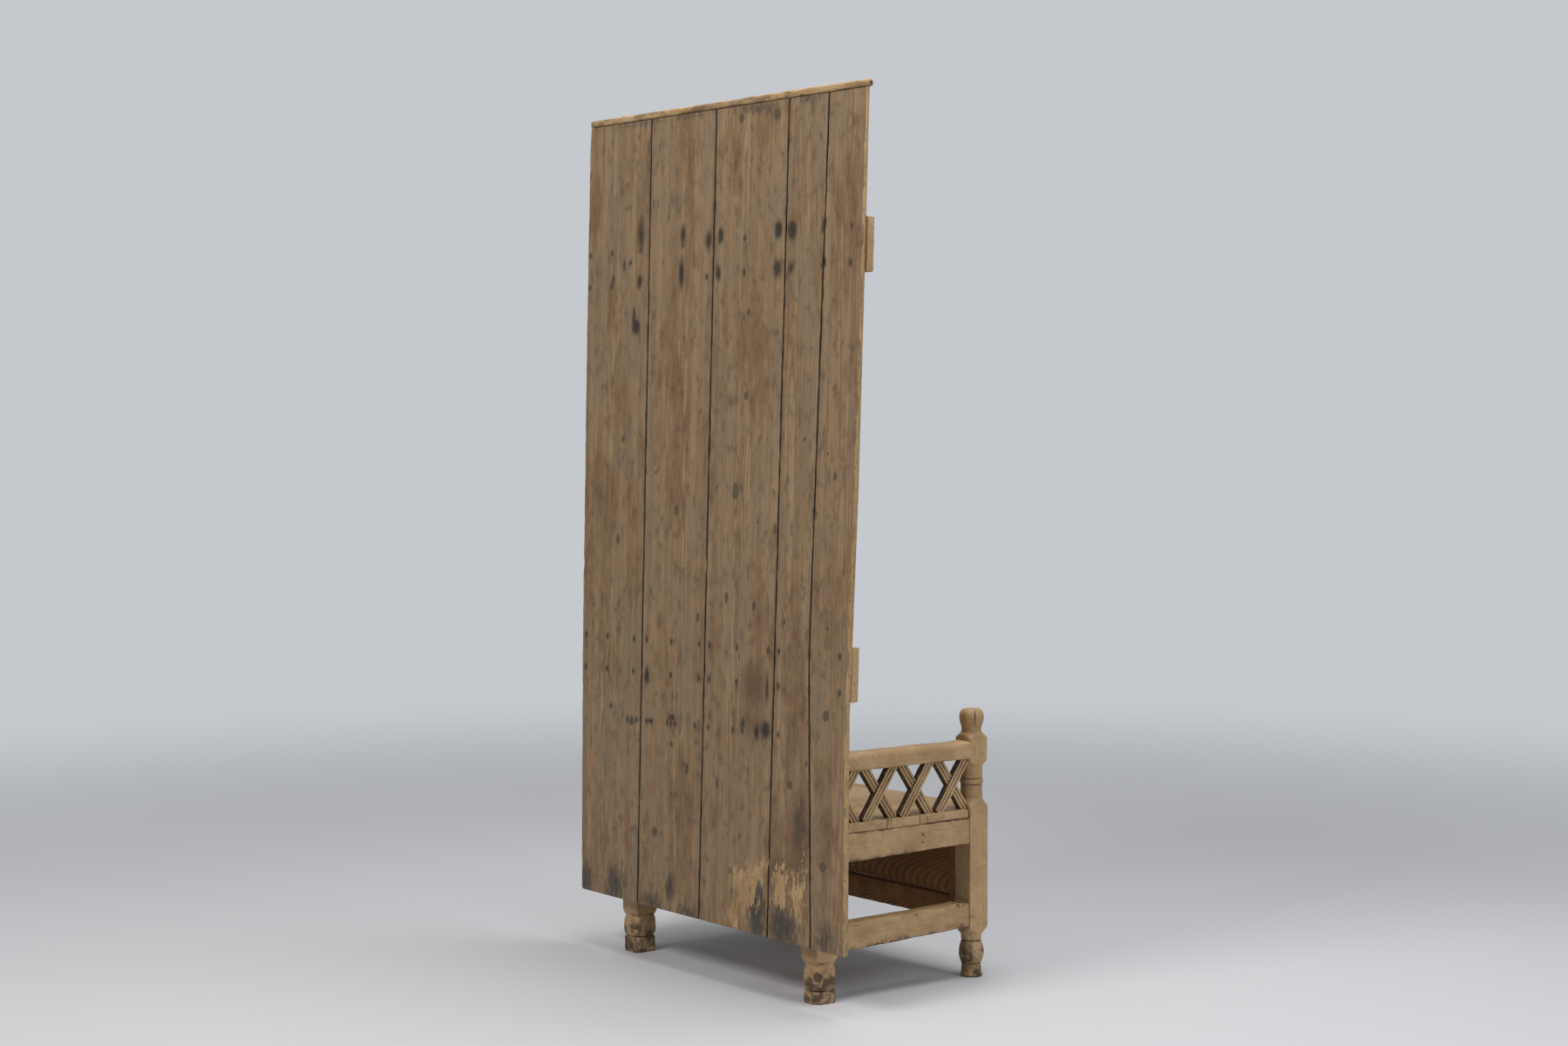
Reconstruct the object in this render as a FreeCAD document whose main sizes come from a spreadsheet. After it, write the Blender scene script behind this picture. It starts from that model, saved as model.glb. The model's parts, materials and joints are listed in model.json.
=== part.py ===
"""A monks bench: a seat with arms whose tall plank back tips forward to become a table.

Millimetres. +Z is up and the seat opens towards -Y. The origin is on the floor, in the middle of
the bench's width and depth. Left is the sitter's left, +X.
"""
import FreeCAD, Part
import math
import os
import Sketcher
from FreeCAD import Placement, Rotation, Vector

doc = FreeCAD.newDocument("monks_bench")
SIDES = {"left": 1, "right": -1}

# Driving dimensions
sheet = doc.addObject("Spreadsheet::Sheet", "dims")
DIMENSIONS = {
    # overall: half the depth from the seat's nosing to the top's lower back edge
    "half_depth": 297,
    # seat
    "seat_height": 430,
    "seat_board": 23,
    "seat_end_x": 414,
    "seat_rear_edge": 272.2,
    "seat_split_rear": 36,
    "seat_split_front": -91,
    "filler_rear": 15,
    "filler_front": 22,
    "board_gap": 0.8,
    # front posts: square stock with a turned foot, column and finial
    "front_post_x": 388,
    "front_post_y": -261,
    "front_side": 60,
    "front_foot_radius": 28.5,
    "front_ankle_radius": 24,
    "front_collar": 1.5,
    "front_groove": 3,
    "front_barrel_radius": 31.5,
    "front_ankle": 31,
    "front_barrel_low": 36,
    "front_barrel_high": 89,
    "front_square_low": 107,
    "front_square_top": 431,
    "front_shoulder": 24,
    "block_low": 541,
    "block_top": 600,
    "block_shoulder": 16,
    "column_radius": 27.5,
    "ring_height": 497,
    "ring_half": 7,
    "ring_radius": 30,
    "neck_radius": 24.5,
    "neck_low": 620,
    "neck_high": 636.4,
    "finial_radius": 30.5,
    "finial_height": 663,
    "finial_top_radius": 22.5,
    "finial_top": 679.6,
    # rear posts: heavier square stock with a turned foot and a cheek that carries the pivot
    "rear_post_x": 381,
    "rear_post_y": 227,
    "rear_side": 66,
    "rear_foot_radius": 38,
    "rear_foot_height": 30,
    "rear_groove": 2,
    "rear_ankle_radius": 33,
    "rear_collar": 3,
    "rear_barrel_radius": 39.5,
    "rear_barrel_low": 37,
    "rear_square_low": 96,
    "rear_shoulder": 20,
    "cheek": 40,
    "cheek_shoulder": 603,
    "cheek_root": 5,
    # side frames
    "side_rail_x": 398,
    "rail_thick": 32,
    "rail_low": 343,
    "stretcher_low": 127,
    "stretcher_top": 195,
    "stretcher_wear": 11,
    "tenon": 12,
    "tenon_long": 28,
    "tenon_edge": 8,
    # front and rear frames
    "front_frame_y": -254,
    "front_frame_thick": 34,
    "front_stretcher_low": 138,
    "front_stretcher_top": 199,
    "rear_stretcher_low": 150,
    "rear_stretcher_top": 212,
    "panel_y": -255,
    "panel_thick": 16,
    "panel_low": 203,
    "panel_lip": 12,
    "strip_wide": 26,
    "strip_thick": 12,
    # arms
    "arm_x": 390,
    "arm_wide": 52,
    "arm_low": 563,
    "arm_top": 601.5,
    "arm_round": 13,
    # lattice under each arm
    "cross_first_y": -183,
    "cross_pitch": 118,
    "slat_lean": 46,
    "slat_face": 20,
    "slat_depth": 20,
    "slat_outer_x": 409,
    "slat_setback": 6,
    "reed_groove": 2.4,
    "reed_deep": 2,
    "reed_offset": 3.7,
    # pegs: riven, eight-sided
    "peg_radius": 4.5,
    "peg_proud": 1.5,
    "side_peg": 34,
    "cross_peg": 46,
    # the top, measured in its own plane from the middle of its lower back edge
    "top_low": 147,
    "top_lean": 1.7,
    "plank_long": 2043,
    "plank_thick": 16,
    "plank_gap": 2.5,
    "tongue_thick": 6,
    "tongue_long": 4,
    "tongue_root": 1,
    "tongue_gap": 0.5,
    "end_tongue_inset": 12,
    "cleat_half": 590,
    "cleat_tall": 18,
    "cleat_thick": 19,
    "cleat_round": 7,
    "batten_tall": 130,
    "batten_thick": 22,
    "batten_chamfer": 4,
    "batten_rise": 22,
    "upper_batten": 1614,
    "lower_batten": 600,
    # pivot
    "pivot_up": 495,
    "pivot_out": 40,
    "pivot_bar_radius": 30,
    "pivot_bar_half": 372,
    "pin_radius": 12,
    "pin_clearance": 0.08,
    "pin_seat": 50,
    "pin_head_radius": 16,
    "pin_head": 7,
    "pin_head_gap": 0.5,
    # square hand-made nails
    "nail": 4,
    "nail_head": 9,
    "nail_head_proud": 1.2,
    "batten_nail": 34,
    "bar_nail": 41,
    "seat_nail": 45,
}
for row, (alias, number) in enumerate(DIMENSIONS.items(), start=1):
    sheet.set(f"A{row}", alias.replace("_", " "))
    sheet.set(f"B{row}", str(number))
    sheet.setAlias(f"B{row}", alias)
doc.recompute()

# Helpers


def value(formula):
    """The number that a formula of sheet cells gives."""
    return float(sheet.evalExpression(str(formula)))


def new_body(label, several_solids=False):
    """An empty body whose label names the sub-part's file."""
    body = doc.addObject("PartDesign::Body", label)
    body.Label = label
    body.AllowCompound = several_solids
    return body


def place(body, x="0", y="0", z="0"):
    """Move a body to a place given by sheet formulas."""
    for axis, formula in zip("xyz", (x, y, z)):
        body.setExpression(f"Placement.Base.{axis}", str(formula))


def place_on_top(body):
    """Set a body of the top in the top's own leaning plane."""
    body.Placement = Placement(Vector(0, 0, 0), Rotation(Vector(1, 0, 0), value("dims.top_lean")))
    body.setExpression("Placement.Base.y", "dims.half_depth")
    body.setExpression("Placement.Base.z", "dims.top_low")
    body.setExpression("Placement.Rotation.Angle", "dims.top_lean")


def new_sketch(body, plane, offset="0"):
    """A sketch on one of the body's own origin planes, moved along that plane's normal."""
    sketch = body.newObject("Sketcher::SketchObject", f"{body.Name}_sketch")
    planes = [item for item in body.Origin.OriginFeatures if item.Role == plane]
    sketch.AttachmentSupport = [(planes[0], "")]
    sketch.MapMode = "FlatFace"
    sketch.setExpression("AttachmentOffset.Base.z", str(offset))
    return sketch


def fix_point(sketch, edge, point, formulas):
    """Tie a vertex of an edge to the sketch's origin by two sheet formulas."""
    for kind, formula in zip(("DistanceX", "DistanceY"), formulas):
        rule = Sketcher.Constraint(kind, -1, 1, edge, point, value(formula))
        index = sketch.addConstraint(rule)
        sketch.setExpression(f"Constraints[{index}]", str(formula))


def outline(sketch, corners):
    """A closed loop of straight edges and arcs through corners given by sheet formulas.

    A third item is the bulge of the edge that arrives at the corner: how far the arc's middle
    stands off the straight line, to the right of the way round when it is positive.
    """
    points = [Vector(value(corner[0]), value(corner[1]), 0) for corner in corners]
    first = sketch.GeometryCount
    count = len(corners)
    for index in range(count):
        start = points[index]
        end = points[(index + 1) % count]
        arrival = corners[(index + 1) % count]
        if len(arrival) == 3:
            along = (end - start).normalize()
            middle = (start + end) * 0.5 + Vector(along.y, -along.x, 0) * value(arrival[2])
            circle = Part.Arc(start, middle, end)
            sketch.addGeometry(circle, False)
        else:
            sketch.addGeometry(Part.LineSegment(start, end), False)
    for index in range(count):
        start = points[index]
        edge = first + index
        before = first + (index - 1) % count
        here = 1 if is_near(sketch.getPoint(edge, 1), start) else 2
        there = 2 if is_near(sketch.getPoint(before, 2), start) else 1
        sketch.addConstraint(Sketcher.Constraint("Coincident", before, there, edge, here))
        fix_point(sketch, edge, here, corners[index][:2])
        arrival = corners[(index + 1) % count]
        if len(arrival) == 3:
            fix_arc(sketch, edge, corners[index], arrival)


def fix_arc(sketch, edge, start, end):
    """Hold an arc by its radius, or a half circle by its centre, midway between its ends."""
    arc = sketch.Geometry[edge]
    chord = (sketch.getPoint(edge, 2) - sketch.getPoint(edge, 1)).Length
    if chord < 1.999 * arc.Radius:
        sketch.addConstraint(Sketcher.Constraint("Radius", edge, arc.Radius))
        return
    level = abs(value(end[1]) - value(start[1])) < 1e-6
    kind, axis = ("DistanceY", 1) if level else ("DistanceX", 0)
    middle = f"(({start[axis]}) + ({end[axis]})) / 2"
    index = sketch.addConstraint(Sketcher.Constraint(kind, -1, 1, edge, 3, value(middle)))
    sketch.setExpression(f"Constraints[{index}]", middle)


def is_near(point, other):
    """Whether two points of a sketch coincide."""
    return (point - other).Length < 1e-4


def pad(body, sketch, length, backwards=False):
    """A pad of the sketch along its normal, or against it."""
    feature = body.newObject("PartDesign::Pad", f"{body.Name}_pad")
    feature.Profile = sketch
    feature.AllowMultiFace = True
    feature.setExpression("Length", str(length))
    feature.Reversed = backwards
    doc.recompute()
    return feature


def pocket(body, sketch, length, along_normal=False):
    """A pocket against the sketch's normal, or along it; it must take something away."""
    before = body.Shape.Volume
    feature = body.newObject("PartDesign::Pocket", f"{body.Name}_pocket")
    feature.Profile = sketch
    feature.AllowMultiFace = True
    feature.setExpression("Length", str(length))
    feature.Reversed = along_normal
    doc.recompute()
    if not body.Shape.Volume < before - 1:
        raise ValueError(f"a pocket of {body.Label} cuts nothing")
    return feature


def turn(body, corners):
    """A full turn about the body's Z axis of an outline of (radius, height) corners."""
    sketch = new_sketch(body, "XZ_Plane")
    outline(sketch, corners)
    feature = body.newObject("PartDesign::Revolution", f"{body.Name}_turning")
    feature.Profile = sketch
    feature.ReferenceAxis = (sketch, ["V_Axis"])
    feature.Angle = 360
    doc.recompute()


def block(body, kind, x, y, z):
    """Add or take away a box between pairs of sheet formulas along each axis."""
    feature = body.newObject(f"PartDesign::{kind}Box", f"{body.Name}_box")
    for size, base, ends in zip(("Length", "Width", "Height"), "xyz", (x, y, z)):
        low, high = sorted(ends, key=value)
        feature.setExpression(size, f"({high}) - ({low})")
        feature.setExpression(f"Placement.Base.{base}", str(low))
    doc.recompute()


def bore(body, kind, radius, start, length, y, z):
    """Add or take away a cylinder that runs along X from start, at a height and depth."""
    feature = body.newObject(f"PartDesign::{kind}Cylinder", f"{body.Name}_round")
    feature.Placement = Placement(Vector(0, 0, 0), Rotation(Vector(0, 1, 0), 90))
    feature.setExpression("Radius", str(radius))
    feature.setExpression("Height", str(length))
    for axis, formula in zip("xyz", (start, y, z)):
        feature.setExpression(f"Placement.Base.{axis}", str(formula))
    doc.recompute()


def square_up(body, side, low, top):
    """Hew a turned blank square between two heights, which leaves its shoulders turned."""
    sketch = new_sketch(body, "XY_Plane", top)
    outline(sketch, rectangle(f"-{side}", side, f"-{side}", side))
    half = f"{side} / 2"
    outline(sketch, rectangle(f"-{half}", half, f"-{half}", half))
    pocket(body, sketch, f"({top}) - ({low})")


def rectangle(left, right, low, high):
    """The four corners of an upright rectangle."""
    return [(left, low), (right, low), (right, high), (left, high)]


def span(centre, width):
    """The two ends, as formulas, of a width about a centre."""
    return f"{centre} - {width} / 2", f"{centre} + {width} / 2"


# Places that several pieces share, as sheet formulas
RAIL_TOP = "(dims.seat_height - dims.seat_board)"
FRONT_FACE = "(dims.front_post_y + dims.front_side / 2)"
REAR_FACE = "(dims.rear_post_y - dims.rear_side / 2)"
FRONT_INNER_X = "(dims.front_post_x - dims.front_side / 2)"
REAR_INNER_X = "(dims.rear_post_x - dims.rear_side / 2)"
SIDE_LONG = f"({REAR_FACE} - {FRONT_FACE})"
PIVOT_Y = (
    "(dims.half_depth - dims.pivot_up * sin(dims.top_lean * 1 deg)"
    " - (dims.plank_thick + dims.pivot_out) * cos(dims.top_lean * 1 deg))"
)
PIVOT_Z = (
    "(dims.top_low + dims.pivot_up * cos(dims.top_lean * 1 deg)"
    " - (dims.plank_thick + dims.pivot_out) * sin(dims.top_lean * 1 deg))"
)
# Heights between which each member's tenons stand
TENONS = {
    "rail": ("dims.rail_low + dims.tenon_edge", f"{RAIL_TOP} - dims.tenon_edge"),
    "stretcher": ("dims.stretcher_low + dims.tenon_edge", "dims.stretcher_top - 2 * dims.tenon_edge"),
    "arm": ("dims.arm_low + dims.tenon_edge", "dims.arm_top - dims.tenon_edge"),
    "front_stretcher": (
        "dims.front_stretcher_low + dims.tenon_edge",
        "dims.front_stretcher_top - dims.tenon_edge",
    ),
    "rear_stretcher": (
        "dims.rear_stretcher_low + dims.tenon_edge",
        "dims.rear_stretcher_top - dims.tenon_edge",
    ),
}
SIDE_MEMBERS = {"rail": "dims.side_rail_x", "stretcher": "dims.side_rail_x", "arm": "dims.arm_x"}


# Posts

# a blank's radius for each millimetre of the square that it is hewn to, a little past the corners
BLANK = 0.74
# how much of a shoulder's height its turning needs past the square's first flat
SHOULDER_REACH = 1.3
# shares of a barrel's height at which its widest band starts and ends
BARREL_SWELL = 0.12
BARREL_FALL = 0.88


def barrel(radius, end_radius, low, high):
    """Corners that carry a barrel's three facets from above its lower end to its upper end."""
    return [
        (radius, f"{low} + {BARREL_SWELL} * ({high} - {low})"),
        (radius, f"{low} + {BARREL_FALL} * ({high} - {low})"),
        (end_radius, high),
    ]


def front_post(name, side):
    """Turned foot, square shaft, turned column, square block for the arm, and a finial."""
    body = new_body(f"front_post_{name}")
    blank = f"dims.front_side * {BLANK}"
    ankle = "dims.front_ankle_radius"
    collar = f"{ankle} + dims.front_collar"
    low, high = "dims.front_barrel_low", "dims.front_barrel_high"
    column = "dims.column_radius"
    turn(body, [
        ("0", "0"),
        ("dims.front_foot_radius", "0"),
        (ankle, "dims.front_ankle"),
        (collar, low),
        *barrel("dims.front_barrel_radius", collar, low, high),
        (ankle, f"{high} + dims.front_groove"),
        (ankle, "dims.front_square_low"),
        (blank, f"dims.front_square_low + {SHOULDER_REACH} * dims.front_shoulder"),
        (blank, "dims.front_square_top"),
        (column, "dims.front_square_top + dims.front_shoulder"),
        (column, "dims.ring_height - dims.ring_half"),
        ("dims.ring_radius", "dims.ring_height"),
        (column, "dims.ring_height + dims.ring_half"),
        (column, "dims.block_low - dims.block_shoulder / 4"),
        (blank, "dims.block_low + dims.block_shoulder"),
        (blank, "dims.block_top"),
        ("dims.neck_radius", "dims.neck_low"),
        ("dims.neck_radius", "dims.neck_high"),
        ("dims.finial_radius", "dims.finial_height"),
        ("dims.finial_top_radius", "dims.finial_top"),
        ("0", "dims.finial_top"),
    ])
    square_up(body, "dims.front_side", "dims.front_square_low - dims.front_groove", "dims.neck_low")
    for member, member_x in SIDE_MEMBERS.items():
        centre = f"{side} * ({member_x} - dims.front_post_x)"
        face = "dims.front_side / 2"
        block(body, "Subtractive", span(centre, "dims.tenon"),
              (f"{face} - dims.tenon_long", face), TENONS[member])
    for member in ("rail", "front_stretcher"):
        inner = f"{-side} * dims.front_side / 2"
        centre = "(dims.front_frame_y - dims.front_post_y)"
        block(body, "Subtractive", (inner, f"{inner} + {side} * dims.tenon_long"),
              span(centre, "dims.tenon"), TENONS[member])
    place(body, f"{side} * dims.front_post_x", "dims.front_post_y")


def rear_post(name, side):
    """Turned foot, square shaft, and a round-headed cheek with the pivot's bearing."""
    body = new_body(f"rear_post_{name}")
    half = "dims.rear_side / 2"
    blank = f"dims.rear_side * {BLANK}"
    ankle = "dims.rear_ankle_radius"
    collar = f"{ankle} + dims.rear_collar"
    turn(body, [
        ("0", "0"),
        ("dims.rear_foot_radius", "0"),
        ("dims.rear_foot_radius", "dims.rear_foot_height"),
        (ankle, "dims.rear_foot_height + dims.rear_groove"),
        (ankle, "dims.rear_barrel_low - dims.rear_groove"),
        (collar, "dims.rear_barrel_low"),
        *barrel("dims.rear_barrel_radius", collar, "dims.rear_barrel_low", "dims.rear_square_low"),
        (blank, "dims.rear_square_low + dims.rear_shoulder"),
        (blank, "dims.cheek_shoulder"),
        ("0", "dims.cheek_shoulder"),
    ])
    square_up(body, "dims.rear_side", "dims.rear_square_low", "dims.cheek_shoulder")
    outer = f"{side} * {half}"
    cheek_inner = f"{side} * ({half} - dims.cheek)"
    sketch = new_sketch(body, "YZ_Plane", min(outer, cheek_inner, key=value))
    outline(sketch, [
        (f"-{half}", "dims.cheek_shoulder - dims.cheek_root"),
        (half, "dims.cheek_shoulder - dims.cheek_root"),
        (half, PIVOT_Z),
        (f"-{half}", PIVOT_Z, half),
    ])
    pad(body, sketch, "dims.cheek")
    for member, member_x in SIDE_MEMBERS.items():
        centre = f"{side} * ({member_x} - dims.rear_post_x)"
        block(body, "Subtractive", span(centre, "dims.tenon"),
              (f"-{half}", f"-{half} + dims.tenon_long"), TENONS[member])
    for member in ("rail", "rear_stretcher"):
        inner = f"{-side} * {half}"
        block(body, "Subtractive", (inner, f"{inner} + {side} * dims.tenon_long"),
              span("0", "dims.tenon"), TENONS[member])
    bore(body, "Subtractive", "dims.pin_radius + dims.pin_clearance", "-dims.rear_side",
         "2 * dims.rear_side", f"{PIVOT_Y} - dims.rear_post_y", PIVOT_Z)
    place(body, f"{side} * dims.rear_post_x", "dims.rear_post_y")


# Side frames: each is drawn in section and run from the rear post to the front post

# how far a quarter circle's middle stands off its chord, as a share of its radius
QUARTER_BULGE = 0.29


def side_tenons(body, member):
    """The tenons at both ends of a member that runs from front to rear."""
    for start, end in ((FRONT_FACE, f"{FRONT_FACE} - dims.tenon_long"),
                       (REAR_FACE, f"{REAR_FACE} + dims.tenon_long")):
        block(body, "Additive", span("0", "dims.tenon"), (start, end), TENONS[member])


def side_member(label, side, member, section):
    """A member of a side frame: its section run between the posts, with a tenon at each end."""
    body = new_body(label)
    sketch = new_sketch(body, "XZ_Plane", f"-{REAR_FACE}")
    outline(sketch, section)
    pad(body, sketch, SIDE_LONG)
    side_tenons(body, member)
    place(body, f"{side} * {SIDE_MEMBERS[member]}")


def side_frame(name, side):
    """Seat rail, worn foot stretcher and rounded arm of one side."""
    half = "dims.rail_thick / 2"
    side_member(f"seat_rail_{name}", side, "rail",
                rectangle(f"-{half}", half, "dims.rail_low", RAIL_TOP))
    wear = "dims.stretcher_wear"
    inner_top = (f"-{half}", "dims.stretcher_top")
    outer_top = (half, "dims.stretcher_top")
    if side > 0:
        top_edge = [
            (half, f"dims.stretcher_top - {wear}"),
            (f"{half} - {wear}", "dims.stretcher_top", f"{wear} * {QUARTER_BULGE}"),
            inner_top,
        ]
    else:
        top_edge = [
            outer_top,
            (f"-{half} + {wear}", "dims.stretcher_top"),
            (f"-{half}", f"dims.stretcher_top - {wear}", f"{wear} * {QUARTER_BULGE}"),
        ]
    side_member(f"stretcher_{name}", side, "stretcher", [
        (f"-{half}", "dims.stretcher_low"),
        (half, "dims.stretcher_low"),
        *top_edge,
    ])
    half = "dims.arm_wide / 2"
    soft = "dims.arm_round"
    side_member(f"arm_rail_{name}", side, "arm", [
        (f"-{half}", "dims.arm_low"),
        (half, "dims.arm_low"),
        (half, f"dims.arm_top - {soft}"),
        (f"{half} - {soft}", "dims.arm_top", f"{soft} * {QUARTER_BULGE}"),
        (f"-{half} + {soft}", "dims.arm_top"),
        (f"-{half}", f"dims.arm_top - {soft}", f"{soft} * {QUARTER_BULGE}"),
    ])


# Lattice: crossed reeded slats, half lapped where they cross

LATTICE_HALF = "((dims.arm_low - dims.seat_height) / 2)"
LATTICE_MIDDLE = "((dims.arm_low + dims.seat_height) / 2)"
# the slat's width measured level instead of square to the slat
LEVEL = f"(sqrt({LATTICE_HALF} ^ 2 + dims.slat_lean ^ 2) / {LATTICE_HALF})"
# how far grooves run along a slat and a notch across it, as shares of the slat's height
GROOVE_REACH = 1.2
NOTCH_REACH = 0.7


def slanted(lean, offset, width, reach=1):
    """Corners of a slanting band: lean is +1 for a slat that rises towards the front."""
    shift = f"{lean} * {reach} * dims.slat_lean"
    wide = f"{width} / 2 * {LEVEL}"
    middle = f"{offset} * {LEVEL}"
    low = f"-{reach} * {LATTICE_HALF}"
    high = f"{reach} * {LATTICE_HALF}"
    return [
        (f"{middle} + {shift} - {wide}", low),
        (f"{middle} + {shift} + {wide}", low),
        (f"{middle} - {shift} + {wide}", high),
        (f"{middle} - {shift} - {wide}", high),
    ]


def lattice_slat(name, side, number, rising):
    """One slat: two grooves make three reeds on its outer face, and a notch laps its partner."""
    kind = "rising" if rising else "falling"
    lean = 1 if rising else -1
    body = new_body(f"slat_{kind}_{number}_{name}")
    outer = "dims.slat_outer_x" if rising else "(dims.slat_outer_x - dims.slat_setback)"
    inner = f"({outer} - dims.slat_depth)"
    start = inner if side > 0 else f"-{outer}"
    sketch = new_sketch(body, "YZ_Plane", start)
    outline(sketch, slanted(lean, "0", "dims.slat_face"))
    pad(body, sketch, "dims.slat_depth")
    sketch = new_sketch(body, "YZ_Plane", f"{side} * {outer}")
    for offset in ("dims.reed_offset", "-dims.reed_offset"):
        outline(sketch, slanted(lean, offset, "dims.reed_groove", GROOVE_REACH))
    pocket(body, sketch, "dims.reed_deep", along_normal=side < 0)
    # the rising slat is notched behind and the falling one in front, to the same plane
    lap_plane = "(dims.slat_outer_x - (dims.slat_depth + dims.slat_setback) / 2)"
    notch_deep = "((dims.slat_depth - dims.slat_setback) / 2)"
    notch_start = lap_plane if rising else outer
    sketch = new_sketch(body, "YZ_Plane", f"{side} * {notch_start}")
    outline(sketch, slanted(-lean, "0", "dims.slat_face", NOTCH_REACH))
    pocket(body, sketch, notch_deep, along_normal=side < 0)
    crossing = f"(dims.cross_first_y + {number - 1} * dims.cross_pitch)"
    for limit, way in ((FRONT_FACE, -1), (REAR_FACE, 1)):
        if runs_past(crossing, limit, way):
            edge = f"{limit} - {crossing}"
            block(body, "Subtractive", (f"-{outer}", outer), (edge, f"{edge} + {way} * dims.cross_pitch"),
                  (f"-{LATTICE_HALF}", LATTICE_HALF))
    place(body, "0", crossing, LATTICE_MIDDLE)


def runs_past(crossing, limit, way):
    """Whether a slat's end would run past a post's face, in front with way -1 and behind with +1."""
    half_wide = value(f"dims.slat_lean + dims.slat_face / 2 * {LEVEL}")
    return (value(crossing) - value(limit)) * way + half_wide > 0


# Front and rear frames


def cross_member(label, inner_x, centre_y, section, tenons):
    """A member that runs across the bench between two posts, with a tenon at each end."""
    body = new_body(label)
    sketch = new_sketch(body, "YZ_Plane", f"-{inner_x}")
    outline(sketch, section)
    pad(body, sketch, f"2 * {inner_x}")
    for side in SIDES.values():
        end = f"{side} * {inner_x}"
        block(body, "Additive", (end, f"{end} + {side} * dims.tenon_long"),
              span(centre_y, "dims.tenon"), TENONS[tenons])


def front_frame():
    """Seat rail, foot stretcher and the wide panel that they hold, with its end strips."""
    front, back = span("dims.front_frame_y", "dims.front_frame_thick")
    panel_front, panel_back = span("dims.panel_y", "dims.panel_thick")
    cross_member("seat_rail_front", FRONT_INNER_X, "dims.front_frame_y", [
        (front, "dims.rail_low"),
        (panel_front, "dims.rail_low"),
        (panel_front, "dims.rail_low + dims.panel_lip"),
        (panel_back, "dims.rail_low + dims.panel_lip"),
        (panel_back, "dims.rail_low"),
        (back, "dims.rail_low"),
        (back, RAIL_TOP),
        (front, RAIL_TOP),
    ], "rail")
    lip_top = "dims.panel_low + dims.panel_lip / 2"
    cross_member("stretcher_front", FRONT_INNER_X, "dims.front_frame_y", [
        (front, "dims.front_stretcher_low"),
        (back, "dims.front_stretcher_low"),
        (back, "dims.front_stretcher_top"),
        (panel_front, "dims.front_stretcher_top"),
        (panel_front, lip_top),
        (front, lip_top),
    ], "front_stretcher")
    panel = new_body("front_panel")
    block(panel, "Additive", (f"-{FRONT_INNER_X}", FRONT_INNER_X), (panel_front, panel_back),
          ("dims.panel_low", "dims.rail_low + dims.panel_lip"))
    for name, side in SIDES.items():
        strip = new_body(f"panel_strip_{name}")
        end = f"{side} * {FRONT_INNER_X}"
        block(strip, "Additive", (f"{end} - {side} * dims.strip_wide", end),
              (panel_back, f"{panel_back} + dims.strip_thick"),
              ("dims.front_stretcher_top", "dims.rail_low"))


def rear_frame():
    """Seat rail and foot stretcher between the rear posts."""
    front, back = span("dims.rear_post_y", "dims.rail_thick")
    cross_member("seat_rail_rear", REAR_INNER_X, "dims.rear_post_y",
                 rectangle(front, back, "dims.rail_low", RAIL_TOP), "rail")
    cross_member("stretcher_rear", REAR_INNER_X, "dims.rear_post_y",
                 rectangle(front, back, "dims.rear_stretcher_low", "dims.rear_stretcher_top"),
                 "rear_stretcher")


# Seat


def seat_piece(label, corners):
    """A board of the seat: its plan raised by the board's thickness."""
    body = new_body(label)
    sketch = new_sketch(body, "XY_Plane", RAIL_TOP)
    outline(sketch, corners)
    pad(body, sketch, "dims.seat_board")


def stepped_board(label, near, far, post_face, inner_x):
    """An outer board of the seat, notched round a pair of posts at its far edge."""
    wide = "dims.seat_end_x"
    seat_piece(label, [
        (f"-{wide}", near),
        (f"-{wide}", post_face),
        (f"-{inner_x}", post_face),
        (f"-{inner_x}", far),
        (inner_x, far),
        (inner_x, post_face),
        (wide, post_face),
        (wide, near),
    ])


def seat():
    """Three boards that run from side to side, with a thin filler in each joint."""
    wide = "dims.seat_end_x"
    gap = "dims.board_gap"
    rear = "dims.seat_split_rear"
    front = "dims.seat_split_front"
    stepped_board("seat_board_rear", rear, "dims.seat_rear_edge", REAR_FACE, REAR_INNER_X)
    stepped_board("seat_board_front", front, "-dims.half_depth", FRONT_FACE, FRONT_INNER_X)
    rear_low = f"{rear} - dims.filler_rear"
    front_high = f"{front} + dims.filler_front"
    seat_piece("seat_filler_rear", rectangle(f"-{wide}", wide, f"{rear_low} + {gap}", f"{rear} - {gap}"))
    seat_piece("seat_board_middle", rectangle(f"-{wide}", wide, front_high, rear_low))
    seat_piece("seat_filler_front", rectangle(f"-{wide}", wide, f"{front} + {gap}", f"{front_high} - {gap}"))


# The top, drawn in its own plane: X across, Z up the planks, Y out of its back face

# Lines that bound the five planks, left to right, as (x, height) points up the top
UPPER_END = "dims.plank_long"
JOINTS = [
    [(564, 0), (582, 680), (590, 1500), (590, UPPER_END)],
    [(296, 0), (300, UPPER_END)],
    [(20, 0), (13, UPPER_END)],
    [(-268, 0), (-288, UPPER_END)],
    [(-441, 0), (-411, 690), (-444, UPPER_END)],
    [(-568, 0), (-555, 560), (-572, 1100), (-586, UPPER_END)],
]


def shifted(joint, distance):
    """A joint line moved sideways."""
    return [(f"{x} + ({distance})", f"{height}") for x, height in joint]


def band(joint, right, left):
    """Corners of the band between a joint line moved right and the same line moved left."""
    return shifted(joint, right) + shifted(joint, left)[::-1]


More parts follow.
